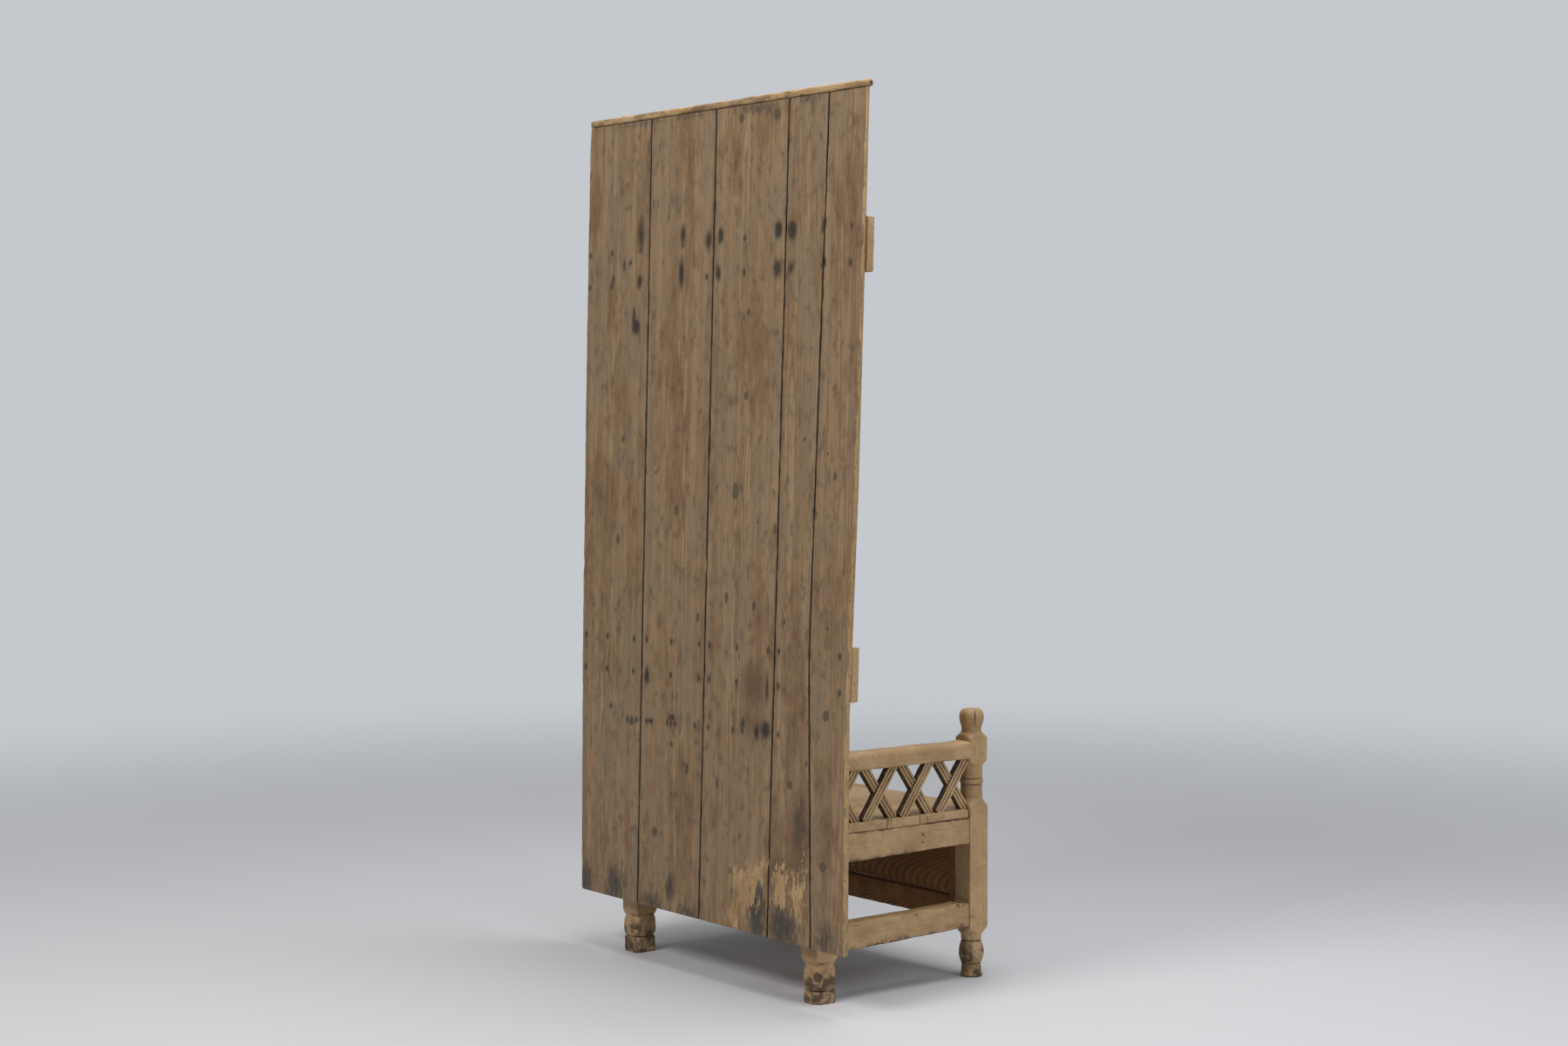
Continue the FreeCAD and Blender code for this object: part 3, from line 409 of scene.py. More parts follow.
def stacked(*parts):
    """Arrays or numbers side by side along a new last axis, each spread over the shape of them all."""
    return np.stack(np.broadcast_arrays(*parts), axis=-1)


def dress(name, mesh, body, nodes):
    """An object with the mesh, which rides on a body and replaces nodes."""
    piece = add_object(name, mesh)
    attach(piece, body)
    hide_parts(*nodes)


def build(name, rings, body, nodes, material, marks):
    """A closed mesh through rings of shape (rows, around, 3), which rides on a body and replaces nodes.

    Its volume is a sixth of the sum, over its triangles, of the first corner dotted with the cross
    product of the other two: a negative sum means that the faces point inward.
    """
    rows, around = rings.shape[:2]
    points = np.concatenate([rings.reshape(-1, 3), rings[[0, -1]].mean(axis=1)])
    index = np.arange(rows * around).reshape(rows, around)
    beside = np.roll(index, -1, axis=1)
    quads = stacked(index[:-1], beside[:-1], beside[1:], index[1:]).reshape(-1, 4)
    low, high = rows * around, rows * around + 1
    first_fan = stacked(beside[0], index[0], low)
    last_fan = stacked(index[-1], beside[-1], high)
    triangles = np.concatenate([quads[:, [0, 1, 2]], quads[:, [0, 2, 3]], first_fan, last_fan])
    corner = points[triangles]
    volume = np.einsum("ij,ij->", corner[:, 0], np.cross(corner[:, 1], corner[:, 2])) / 6
    faces = [quads, first_fan, last_fan]
    if volume < 0:
        faces = [face[:, ::-1] for face in faces]
    mesh = bpy.data.meshes.new(name)
    mesh.from_pydata(points.tolist(), [], [face for part in faces for face in part.tolist()])
    for mark, values in marks.items():
        full = np.concatenate([values.reshape(rows * around, -1),
                               values[[0, -1]].reshape(2, around, -1).mean(axis=1)])
        vector = full.shape[1] == 3
        layer = mesh.attributes.new(mark, "FLOAT_VECTOR" if vector else "FLOAT", "POINT")
        layer.data.foreach_set("vector" if vector else "value", full.astype(np.float32).ravel())
    mesh.shade_smooth()
    mesh.set_sharp_from_angle(angle=np.radians(50))
    mesh.materials.append(material)
    dress(name, mesh, body, nodes)
    print(f"{name}: {len(triangles)} triangles, {abs(volume) * 1e6:.0f} cm3")


# %% [markdown]
# ## Hand work
#
# Old joinery is never straight: a plane leaves shallow waves, and edges are knocked round. Smooth random
# waves come from a sum of sines in random directions, which is cheap on whole arrays and the same each run.

# %% Hand work


SINES = 9


def waves(points, size, seed):
    """Smooth values from about -1 to 1: the mean of sines of wavelengths near size, times 2."""
    chance = np.random.default_rng(seed)
    turn = chance.normal(size=(SINES, 3))
    turn *= (2 * np.pi / size / np.linalg.norm(turn, axis=1) * chance.uniform(0.6, 1.6, SINES))[:, None]
    phase = chance.uniform(0, 2 * np.pi, SINES)
    return 2 * np.sin(points @ turn.T + phase).mean(axis=-1)


def spots(across, along, places):
    """The strongest of many soft ovals: exp of minus the squared distance over each oval's radii."""
    total = np.zeros_like(across)
    for x, height, wide, tall, strength in places:
        oval = np.exp(-((across - x) / wide) ** 2 - ((along - height) / tall) ** 2)
        total = np.maximum(total, strength * oval)
    return total


CORNER_POINTS = 5
WEAR_REACH = 0.004
CORNER_VARIES = 0.45


def outline_ring(side_points, corner_points):
    """Signs and outward directions of the points round a rectangle with rounded corners."""
    corners = np.array([(1, -1), (1, 1), (-1, 1), (-1, -1)], float)
    signs, ways = [], []
    for number, corner in enumerate(corners):
        angles = np.linspace(number - 1, number, corner_points) * np.pi / 2
        ways.append(stacked(np.cos(angles), np.sin(angles)))
        signs.append(np.tile(corner, (corner_points, 1)))
        steps = np.linspace(0, 1, side_points[number % 2] + 2)[1:-1, None]
        signs.append(corner + (corners[(number + 1) % 4] - corner) * steps)
        ways.append(np.tile(ways[-1][-1], (len(steps), 1)))
    return np.concatenate(signs), np.concatenate(ways)


def stick(along, wide, thick, corner=0.003, spacing=0.006, seed=0, wobble=0.0004, centre=(0, 0)):
    """Rings of a board in its own axes: x across, y through, z along, and how exposed each point is.

    Each ring is a rectangle whose corners are quarter circles, of one radius or of a lower and an upper
    one. The radius swells and shrinks along the board, and the last millimetres of each end draw in by a
    quarter circle too. The wear is exp of minus the distance to the nearest edge over 4 mm.
    """
    along = np.asarray(along, float)
    wide = np.broadcast_to(wide, along.shape)
    thick = np.broadcast_to(thick, along.shape)
    counts = [max(2, int(np.max(size) / spacing)) for size in (thick, wide)]
    signs, ways = outline_ring(counts, CORNER_POINTS)
    knock = waves(stacked(0, 0, along), 0.09, seed + 50)
    low_corner, high_corner = np.broadcast_to(corner, 2)
    reach = np.minimum(along - along[0], along[-1] - along)
    end = low_corner * (1 + CORNER_VARIES * knock)
    inset = end - np.sqrt(np.maximum(end ** 2 - np.maximum(end - reach, 0) ** 2, 0))
    radius = low_corner + (high_corner - low_corner) * (signs[:, 1] + 1) / 2
    radius = (radius * (1 + CORNER_VARIES * knock)[:, None])[..., None]
    half = stacked(wide, thick) / 2 - inset[:, None]
    flat = signs[None] * (half[:, None, :] - radius) + ways[None] * radius
    middle = np.broadcast_to(np.asarray(centre, float), (len(along), 2))
    rings = np.concatenate([flat + middle[:, None, :],
                            np.broadcast_to(along[:, None, None], (*flat.shape[:2], 1))], axis=-1)
    inside = half[:, None, :] - np.abs(flat)
    gaps = np.sort(stacked(inside[..., 0], inside[..., 1], reach[:, None]), axis=-1)
    wear = np.exp(-gaps[..., 1] / WEAR_REACH)
    push = wobble * waves(rings, 0.07, seed) + wobble * 0.5 * waves(rings, 0.02, seed + 1)
    rings[..., :2] += ways[None] * push[..., None]
    return rings, wear


def lengths(start, end, step=0.012, close=0.0035):
    """Places along a stick: even steps, with four closer ones at each end for its rounding."""
    inner = np.linspace(start + close, end - close, max(3, int((end - start) / step)))
    ends = close * np.array([0, 0.12, 0.35, 0.65])
    return np.concatenate([start + ends, inner, end - ends[::-1]])


def marks_of(rings, wear, soil_and_shade=0.0, **more):
    """The attributes that every painted piece carries: its grain coordinates, wear, and dirt, which on the
    slats' sides and backs is painted shade.
    """
    return {"grain": rings, "wear": wear, "soil_and_shade": np.broadcast_to(soil_and_shade, wear.shape), **more}


print("a 1 m stick has", len(lengths(0, 1)), "rings")

# %% [markdown]
# ## The planks of the top
#
# Five hand-sawn planks taper a little, and their joints opened as they dried. Each plank is a stick whose
# width follows two joint lines, with a tongue in each joint. Its marks are worked out in numpy from short
# lists of what is seen: iron stains round the nails, knots, damp at the lower end, and flaking paint that the
# stripping left there.

# %% Lines and places on the top
LEAN = np.radians(1.7)
TOP_FOOT = (0.297, 0.147)
PLANK_LONG = 2.043
PLANK_THICK = 0.016
PLANK_GAP = 0.0025
TONGUE_LONG = 0.004
TONGUE_THICK = 0.006
UNDER_CLEAT = 0.0005
PLANK_STEP = 0.0052
HEARTS = (0.02, -0.03, 0.015, 0.03, -0.025)  # how far off its middle each plank's arches stand
CORNER_ROUND = 0.012
# each line's places across the top and up it; the first and the last line are the outer edges
JOINTS = [
    [(0.564, 0), (0.582, 0.680), (0.590, 1.500), (0.590, PLANK_LONG)],
    [(0.296, 0), (0.300, PLANK_LONG)],
    [(0.020, 0), (0.013, PLANK_LONG)],
    [(-0.268, 0), (-0.288, PLANK_LONG)],
    [(-0.441, 0), (-0.411, 0.690), (-0.444, PLANK_LONG)],
    [(-0.568, 0), (-0.555, 0.560), (-0.572, 1.100), (-0.586, PLANK_LONG)],
]
# each batten's lower edge at its right end, and its left and right ends
BATTENS = {"upper_batten": (1.614, 0.589, -0.578), "lower_batten": (0.600, 0.580, -0.556)}
BATTEN_TALL = 0.130
BATTEN_THICK = 0.022
BATTEN_DROP = 0.022
BATTEN_ROWS = (0.022, 0.108)
UPPER_NAILS = (577, 473, 342, 149, 42, -12, -118, -255, -305, -430, -539)
LOWER_NAILS = (562, 460, 335, 275, 165, 42, -4, -120, -248, -292, -414, -530)
BAR_NAILS = (359, 338, 316, 272, 247, 176, 159, 141, 54, -4, -109, -149, -203, -236, -253, -296)


def batten_drop(x, left, right):
    """How far a batten's edge drops at x: evenly from its right end to its left one."""
    return BATTEN_DROP * (x - right) / (left - right)


def batten_rows(name, places):
    """Places of the two rows of nails through a batten, which keep to its slope."""
    low, left, right = BATTENS[name]
    return [(x / 1000, low - batten_drop(x / 1000, left, right) + height)
            for height in BATTEN_ROWS for x in places]


NAILS = {
    "upper_batten_nails": batten_rows("upper_batten", UPPER_NAILS),
    "lower_batten_nails": batten_rows("lower_batten", LOWER_NAILS),
    "pivot_bar_nails": [(x / 1000, 0.490 - 0.035 * x / 1000) for x in BAR_NAILS],
}


def ovals(*places):
    """Soft ovals, from x, height, half width and half height in millimetres, and strength in hundredths."""
    return np.array(places) / (1000, 1000, 1000, 1000, 100)


STAINS = ovals(
    (340, 1745, 19, 55, 80), (149, 1735, 13, 30, 90), (153, 1637, 12, 45, 100), (36, 1716, 16, 30, 85),
    (-16, 1726, 14, 22, 95), (-9, 1631, 12, 24, 90), (-255, 1727, 17, 24, 110), (-309, 1723, 19, 26, 110),
    (-253, 1634, 20, 25, 90), (-307, 1632, 14, 20, 75), (342, 1624, 13, 22, 95), (415, 1669, 9, 22, 75),
    (386, 1674, 8, 10, 80), (466, 1632, 8, 16, 80), (354, 1506, 20, 22, 110), (366, 1532, 7, 26, 100),
    (-435, 1735, 9, 16, 100), (-437, 1640, 9, 14, 100), (273, 598, 12, 28, 95), (-247, 610, 8, 55, 80),
    (-208, 497, 11, 20, 100), (-245, 505, 24, 24, 95), (-149, 512, 10, 20, 85), (155, 500, 18, 10, 90),
    (340, 470, 22, 8, 70), (255, 482, 20, 8, 80)
)
KNOTS = ovals(
    (-140, 1530, 10, 12, 90), (-137, 1324, 11, 13, 90), (-94, 2010, 16, 18, 70), (-240, 2008, 24, 26, 70),
    (-99, 1086, 13, 24, 100), (155, 1032, 12, 18, 80), (405, 1212, 12, 14, 70), (419, 948, 10, 20, 80),
    (-420, 1042, 11, 22, 90), (-266, 998, 9, 16, 90), (-71, 821, 11, 18, 80), (-187, 807, 10, 16, 80),
    (-313, 776, 10, 16, 60), (51, 764, 11, 18, 70), (-193, 1014, 6, 7, 80), (249, 1127, 6, 8, 90),
    (313, 722, 10, 12, 50), (229, 556, 10, 12, 60), (-481, 562, 14, 15, 100), (438, 505, 12, 14, 70),
    (-481, 770, 9, 10, 70), (-377, 1219, 6, 7, 90), (-467, 1185, 6, 7, 80), (-497, 1132, 10, 16, 70),
    (-346, 383, 13, 14, 80), (-482, 202, 15, 14, 90), (223, 198, 16, 16, 80), (155, 432, 12, 14, 70),
    (85, 374, 10, 22, 80), (-48, 357, 9, 18, 80), (-410, 440, 10, 12, 60), (153, 302, 6, 10, 80),
    (102, 385, 10, 12, 60)
)
DAMP_PLACES = ovals(
    (404, 30, 60, 70, 75), (150, 63, 24, 45, 80), (-226, 60, 40, 85, 105), (-329, 35, 70, 60, 90),
    (-497, 30, 50, 50, 70), (230, 10, 60, 35, 75), (540, 20, 40, 80, 75), (-386, 300, 30, 75, 62),
    (60, 10, 80, 30, 60), (290, 1556, 14, 50, 45), (-73, 1894, 12, 55, 50), (-160, 2030, 120, 20, 60),
    (350, 2035, 200, 14, 55), (120, 2035, 150, 12, 50), (-370, 2035, 60, 20, 55)
)
RUST_PLACES = ovals(
    (-190, 610, 60, 75, 95), (-200, 520, 70, 60, 70), (-386, 260, 50, 110, 85), (12, 1720, 30, 240, 45),
    (-100, 330, 30, 150, 45), (-330, 170, 80, 60, 70), (-560, 1500, 20, 150, 50), (150, 470, 60, 60, 40)
)
PAINT_PLACES = ovals(
    (-180, 110, 85, 85, 72), (-240, 160, 50, 60, 62), (-120, 30, 50, 60, 62), (-320, 135, 55, 85, 66),
    (-385, 110, 50, 100, 60), (-410, 190, 16, 120, 55)
)
print(sum(len(places) for places in NAILS.values()), "nails and", len(KNOTS), "knots")

# %% [markdown]
# The top leans back by less than two degrees, so its pieces are worked out in its own plane, with x across,
# y out of the back face and z up the planks, and one function sets them in their place.

# %% Planks


def on_top(points):
    """Points of the top's own plane set in place: turned about X by the lean, then moved to its foot."""
    x, y, z = np.moveaxis(points, -1, 0)
    return stacked(x, TOP_FOOT[0] + y * np.cos(LEAN) - z * np.sin(LEAN),
                   TOP_FOOT[1] + y * np.sin(LEAN) + z * np.cos(LEAN))


def joint_x(line, height):
    """How far across a joint line runs at each height."""
    places = np.array(JOINTS[line])
    return np.interp(height, places[:, 1], places[:, 0])


def plank_marks(rings, wear, outer):
    """Stains, knots, damp, rust and paint of the back face; the front and the outer edges are painted."""
    across, through, along = np.moveaxis(rings, -1, 0)
    back = np.clip(1 + (through + 0.004) / 0.003, 0, 1)
    seam = 0.9 * np.exp(-(PLANK_LONG - along) / 0.0030)
    for number in range(1, 5):
        off = np.maximum(np.abs(across - joint_x(number, along)) - 0.0018, 0)
        seam = np.maximum(seam, np.exp(-off / 0.0022))
    flaking = np.clip(0.9 * waves(rings, 0.16, 5) - 0.35, 0, 1)
    nails = [(x, z, 0.0075, 0.011, 0.85) for places in NAILS.values() for x, z in places]
    holes = spots(across, along, [*nails, *STAINS])
    knots = spots(across, along, KNOTS)
    swirl = spots(across, along, [(x, z, wide * 2.6, tall * 3.2, 1) for x, z, wide, tall, _ in KNOTS])
    paint = np.maximum(spots(across, along, PAINT_PLACES) * back, 1.2 * (1 - back))
    for number in outer:
        off = np.maximum(np.abs(across - joint_x(number, along)) - 0.0012, 0)
        side = np.exp(-off / 0.0025)
        paint = np.maximum(paint, side * (0.62 + 0.3 * waves(rings, 0.11, 6)))
    return {
        "stain": holes * back, "knot": knots, "swirl": swirl,
        "damp": spots(across, along, DAMP_PLACES) * back, "rust": spots(across, along, RUST_PLACES) * back,
        "paint": paint, "pale": np.clip(wear * 1.6, 0, 1) * back * flaking, "wear": wear,
        "seam": seam * (0.75 + 0.25 * back),
        "soil_and_shade": 0.35 * (1 - back) + 0.4 * np.exp(-along / 0.05),
    }


def plank(number):
    """One plank: its width at each height is the distance between two joint lines, less the gap."""
    left_gap = PLANK_GAP / 2 if number > 1 else 0
    right_gap = PLANK_GAP / 2 if number < 5 else 0
    height = lengths(0, PLANK_LONG - UNDER_CLEAT, PLANK_STEP)
    left = joint_x(number - 1, height) - left_gap
    right = joint_x(number, height) + right_gap
    middle = stacked((left + right) / 2, -PLANK_THICK / 2)
    rings, wear = stick(height, left - right, PLANK_THICK, 0.0022, 0.0055, number, 0.00035, middle)
    outer = {1: (0,), 5: (5,)}.get(number, ())
    marks = plank_marks(rings, wear, outer)
    edges = np.minimum(np.abs(rings[..., 0] - left[:, None]), np.abs(rings[..., 0] - right[:, None]))
    nibble = np.clip(waves(rings, 0.05, number + 20) - 0.35, 0, 1) * np.exp(-edges / 0.004)
    rings[..., 1] -= np.where(rings[..., 1] > -0.004, 0.0022 * nibble + 0.0012 * marks["stain"] ** 4, 0)
    if number == 5:
        bevel = 0.003 + 0.008 * np.clip(height / PLANK_LONG, 0, 1) ** 2
        past = np.clip(-rings[..., 1] - (PLANK_THICK - bevel)[:, None], 0, None)
        rings[..., 0] = np.maximum(rings[..., 0], right[:, None] + past)
    if number == 1:
        below = np.clip(CORNER_ROUND - height, 0, CORNER_ROUND)
        corner = CORNER_ROUND - np.sqrt(CORNER_ROUND ** 2 - below ** 2)
        rings[..., 0] = np.minimum(rings[..., 0], (left - corner)[:, None])
    grain = rings - np.array([middle[:, 0].mean() + HEARTS[number - 1], 0, 0])
    grain[..., 1] += number * 0.37
    build(f"plank_{number}", on_top(rings), "top", [f"top_plank_{number}"], PINE_BOARD,
          {"grain": grain, **marks})


def tongue(number):
    """The tongue along one plank's right edge, which fills the joint's middle so that no light shows."""
    height = lengths(0.002, PLANK_LONG - 0.001, 0.02)
    middle = stacked(joint_x(number, height), -PLANK_THICK / 2)
    rings, wear = stick(height, PLANK_GAP + 2 * TONGUE_LONG, TONGUE_THICK, 0.001, 0.004, number + 60, 0.0001,
                        middle)
    build(f"tongue_{number}", on_top(rings), "top", [f"top_plank_{number}"], PINE_BOARD,
          {"grain": rings, **plank_marks(rings, wear, ())})


for plank_number in range(1, 6):
    plank(plank_number)
for joint_number in range(1, 5):
    tongue(joint_number)

# %% [markdown]
# ## Cleat and battens
#
# The end cleat hides the planks' end grain, and the battens hold them flat. They are plain sticks with
# softly rounded edges, painted like the frame, except that the cleat's paint is rubbed through.

# %% Cleat and battens


def laid_across(rings):
    """A stick along z turned to lie along x, with its own x going up and its y through."""
    return rings[..., ::-1].copy()


CLEAT_HALF = 0.590
CLEAT_TALL = 0.018
CLEAT_THICK = 0.019
rings, wear = stick(lengths(-CLEAT_HALF, CLEAT_HALF), CLEAT_TALL, CLEAT_THICK, 0.0065, 0.004, 31, 0.0005,
                    (PLANK_LONG + CLEAT_TALL / 2, -PLANK_THICK / 2))
zero = np.zeros_like(wear)
# The cleat's pale edges are a painted highlight: cream laid along its rounded edges, where light catches
# them.
build("end_cleat", on_top(laid_across(rings)), "top", ["top_end_cleat"], PINE_BOARD,
      marks_of(rings, 0.6 * wear, 0.05, paint=0.50 + 0.22 * waves(rings, 0.12, 3), pale=0.5 * wear,
               stain=zero, knot=zero, swirl=zero, damp=zero, rust=zero, seam=zero))


def batten(name, seed):
    """A batten under the planks, with its ends at their own heights."""
    low, left, right = BATTENS[name]
    rings, wear = stick(lengths(right, left), BATTEN_TALL, BATTEN_THICK, 0.0035, 0.007, seed, 0.0005,
                        (low + BATTEN_TALL / 2, -PLANK_THICK - BATTEN_THICK / 2 - 0.0002))
    placed = laid_across(rings)
    placed[..., 2] -= batten_drop(placed[..., 0], left, right)
    build(f"{name}_surface", on_top(placed), "top", [name], PAINT, marks_of(rings, 0.45 * wear, 0.12))


batten("upper_batten", 32)
batten("lower_batten", 33)

# %% [markdown]
# ## Nails
#
# Each nail is hand forged, with a small four-sided rose head that was driven a little below the wood. A
# grid of seven by seven points domes up to a blunt peak, and every copy is turned and sized a little
# differently. All heads of one row are one mesh.

# %% Nail heads
HEAD_POINTS = 7


def nail_heads(name, places, seed):
    """Rose heads: the dome's height falls with the larger of |u| and |v|, to the rim below the wood."""
    chance = np.random.default_rng(seed)
    side = np.linspace(-1, 1, HEAD_POINTS)
    u, v = np.meshgrid(side, side)
    dome = 0.0013 - 0.0030 * np.maximum(np.abs(u), np.abs(v)) ** 2.2
    places = np.array(places)
    count = len(places)
    size = chance.uniform(0.0028, 0.0036, count)[:, None, None]
    turn = chance.uniform(0, np.pi / 2, count)[:, None, None]
    x = places[:, 0, None, None] + size * (u * np.cos(turn) - v * np.sin(turn))
    z = places[:, 1, None, None] + size * (u * np.sin(turn) + v * np.cos(turn))
    y = dome - 0.0008
    points = on_top(stacked(x, y, z)).reshape(-1, 3)
    centres = on_top(stacked(places[:, 0], -0.006, places[:, 1]))
    grid = np.arange(HEAD_POINTS ** 2).reshape(HEAD_POINTS, HEAD_POINTS)
    quads = stacked(grid[:-1, :-1], grid[1:, :-1], grid[1:, 1:], grid[:-1, 1:]).reshape(-1, 4)
    rim = np.concatenate([grid[0, :-1], grid[:-1, -1], grid[-1, :0:-1], grid[:0:-1, 0]])
    starts = grid.size * np.arange(count)[:, None]
    quads = (quads + starts[..., None]).reshape(-1, 4)
    middles = grid.size * count + np.arange(count)[:, None]
    fans = stacked(rim + starts, np.roll(rim, -1) + starts, middles)
    mesh = bpy.data.meshes.new(name)
    mesh.from_pydata(np.concatenate([points, centres]).tolist(), [],
                     quads.tolist() + fans.reshape(-1, 3).tolist())
    mesh.materials.append(IRON)
    dress(f"{name}_heads", mesh, "top", [name])
    print(f"{name}_heads: {count} heads")


for number, (nail_name, nail_places) in enumerate(NAILS.items()):
    nail_heads(nail_name, nail_places, 60 + number)

# %% [markdown]
# ## Posts
#
# A post starts as a square stick. The turner rounds parts of it and leaves the rest square. Where round
# meets square, the surface is whichever of the two is nearer the axis, so a post is one function of the
# angle and the height: the smaller of the turned radius and the square's radius, softly blended. That alone
# gives the curved shoulders that real posts have.

# %% Posts


def turned(profile, height):
    """A turned radius at each height: the outline's places joined by runs that bow as a parabola does."""
    radius = np.zeros_like(height)
    for (low_z, low_r, _), (high_z, high_r, bow) in zip(profile[:-1], profile[1:]):
        part = np.clip((height - low_z) / max(high_z - low_z, 1e-6), 0, 1)
        inside = (height >= low_z) & (height <= high_z)
        radius = np.where(inside, low_r + (high_r - low_r) * part + 4 * bow * part * (1 - part), radius)
    return radius


POST_POINTS = 128
BESIDE_KEY = 0.0004
SHARP = 22.0


def squared(angle, half, sharp):
    """A square's radius at each angle, its corners rounded as a superellipse rounds them."""
    return half / (np.abs(np.cos(angle)) ** sharp + np.abs(np.sin(angle)) ** sharp) ** (1 / sharp)


def nearer(first, second):
    """The smaller of two lengths, blended over a soft distance where they are nearly equal."""
    soft = 0.0012
    gap = np.clip(0.5 + 0.5 * (second - first) / soft, 0, 1)
    return second + (first - second) * gap - soft * gap * (1 - gap)


def post_rings(profile, half, step, seed, blocks=()):
    """Rings of a post: radius as a function of angle and height, and how exposed each point is."""
    angle = np.linspace(0, 2 * np.pi, POST_POINTS, endpoint=False)
    angle = angle - 0.12 * np.sin(4 * angle)  # closer at the square's four corners
    keys = profile[:, 0]
    height = np.unique(np.concatenate([np.arange(keys[0], keys[-1], step), keys,
                                       keys[1:-1] - BESIDE_KEY, keys[1:-1] + BESIDE_KEY]))
    wide, tall = np.meshgrid(angle, height)
    lathe = turned(profile, tall)
    sharp = np.full_like(tall, SHARP)
    for low, high, value in blocks:
        sharp = np.where((tall > low) & (tall < high), value, sharp)
    box = squared(wide, half, sharp)
    radius = nearer(lathe, box)
    flat = stacked(np.cos(wide), np.sin(wide), tall)
    corner = np.exp(-np.abs(np.abs(np.cos(wide)) - np.abs(np.sin(wide))) / 0.10) * (lathe > box)
    slope = np.abs(np.gradient(np.gradient(radius, axis=0), axis=0))
    ridge = np.clip(slope / 0.0009, 0, 1)
    surface = stacked(radius * flat[..., 0], radius * flat[..., 1], tall)
    radius = radius + 0.0006 * waves(surface, 0.06, seed) + 0.0003 * waves(surface, 0.015, seed + 1)
    surface[..., :2] = radius[..., None] * flat[..., :2]
    return surface, np.maximum(corner, ridge * 0.7)


def turning(*places):
    """A turned outline, from height, radius there and the bow of the run up to there, in tenths of a mm."""
    return np.array(places) / 10000


FRONT_HALF = 0.030
FRONT_BLANK = 444  # beyond the square's corners, so that it stays square
FRONT_PROFILE = turning(
    (0, 265, 0), (40, 285, 6), (310, 240, -12), (360, 255, 0), (600, 315, 14), (890, 255, 16),
    (920, 238, 0), (950, 252, 0), (1070, 256, 0), (1380, FRONT_BLANK, 20), (4310, FRONT_BLANK, 0),
    (4550, 275, -20), (4880, 275, 0), (4895, 262, 0), (4910, 280, 0), (4970, 302, 6), (5030, 280, 6),
    (5045, 262, 0), (5060, 275, 0), (5370, 275, 0), (5570, FRONT_BLANK, 10), (6000, FRONT_BLANK, 0),
    (6130, 335, 12), (6205, 262, 0), (6245, 247, 0), (6310, 245, 0), (6390, 268, 0), (6470, 294, 3),
    (6570, 304, 3), (6660, 298, 4), (6740, 268, 6), (6785, 225, 4), (6796, 190, 0)
)
# height, half height and strength of the dirt in each turned groove
FRONT_LINES = [(0.0325, 0.0016, 1.6), (0.0470, 0.0010, 1.3), (0.0920, 0.0018, 1.7), (0.4895, 0.0012, 1.25),
               (0.5045, 0.0012, 1.25)]


def dirt_lines(height, lines):
    """Dirt packed in turned grooves: each line's strength times exp of its squared distance."""
    return np.max([strength * np.exp(-((height - place) / half) ** 2)
                   for place, half, strength in lines], axis=0)


def dirt_patch(rings, direction, height, wide, tall, strength):
    """A patch of dirt on a post's side that faces a direction in degrees, as a soft oval."""
    angle = np.arctan2(rings[..., 1], rings[..., 0]) - np.radians(direction)
    angle = (angle + np.pi) % (2 * np.pi) - np.pi
    ragged = 1 + 0.35 * waves(rings, 0.014, 90)
    oval = (angle / np.radians(wide)) ** 2 + ((rings[..., 2] - height) / tall) ** 2
    return strength * np.exp(-oval * ragged)


def front_post(name, x, y, seed):
    """A front post, foot to finial."""
    rings, wear = post_rings(FRONT_PROFILE, FRONT_HALF, 0.003, seed, blocks=[(0.53, 0.63, 8.0)])
    height = rings[..., 2]
    soil_and_shade = 1.02 * np.clip(1.8 - height / 0.060, 0, 1) + 0.08
    soil_and_shade = np.maximum(soil_and_shade, dirt_lines(height, FRONT_LINES))
    soil_and_shade = np.maximum(soil_and_shade, dirt_patch(rings, 156, 0.658, 5, 0.022, 1.7))
    placed = rings + np.array([x, y, 0])
    build(f"{name}_surface", placed, "frame", [name], PAINT, marks_of(rings + seed * 0.31, 0.7 * wear, soil_and_shade))


REAR_HALF = 0.033
REAR_BLANK = 488.4
REAR_PROFILES = {
    "left": turning(
        (0, 385, 0), (30, 398, 3), (360, 400, 3), (395, 385, 0), (410, 345, 0), (435, 345, 0),
        (460, 385, 0), (540, 414, 6), (800, 414, 6), (960, 365, 10), (1160, REAR_BLANK, 10),
        (6030, REAR_BLANK, 0)
    ),
    "right": turning(
        (0, 365, 0), (30, 378, 4), (260, 378, 4), (300, 360, 4), (312, 325, 0), (335, 325, 0),
        (350, 358, 4), (470, 384, 6), (720, 380, 6), (930, 340, 8), (1160, REAR_BLANK, -10),
        (6030, REAR_BLANK, 0)
    ),
}
REAR_GROOVES = {"left": 0.0423, "right": 0.0323}


def rear_post(side, x, y, seed):
    """A rear post up to its shoulder, with its dirty drum foot, packed groove and smudged barrel."""
    rings, wear = post_rings(REAR_PROFILES[side], REAR_HALF, 0.004, seed)
    height = rings[..., 2]
    groove = REAR_GROOVES[side]
    soil_and_shade = np.clip(2.0 - height / 0.055, 0, 1) + 0.1
    soil_and_shade = np.maximum(soil_and_shade, dirt_lines(height, [(groove, 0.0020, 1.8), (0.100, 0.0012, 1.1)]))
    if side == "right":
        soil_and_shade = np.maximum(soil_and_shade, dirt_patch(rings, 136, 0.066, 26, 0.017, 1.9))
    else:
        soil_and_shade = np.maximum(soil_and_shade, dirt_patch(rings, 120, 0.066, 55, 0.010, 1.3))
        soil_and_shade = np.maximum(soil_and_shade, 1.15 * (height < groove))
    return rings, 0.7 * wear, soil_and_shade, rings + np.array([x, y, 0])


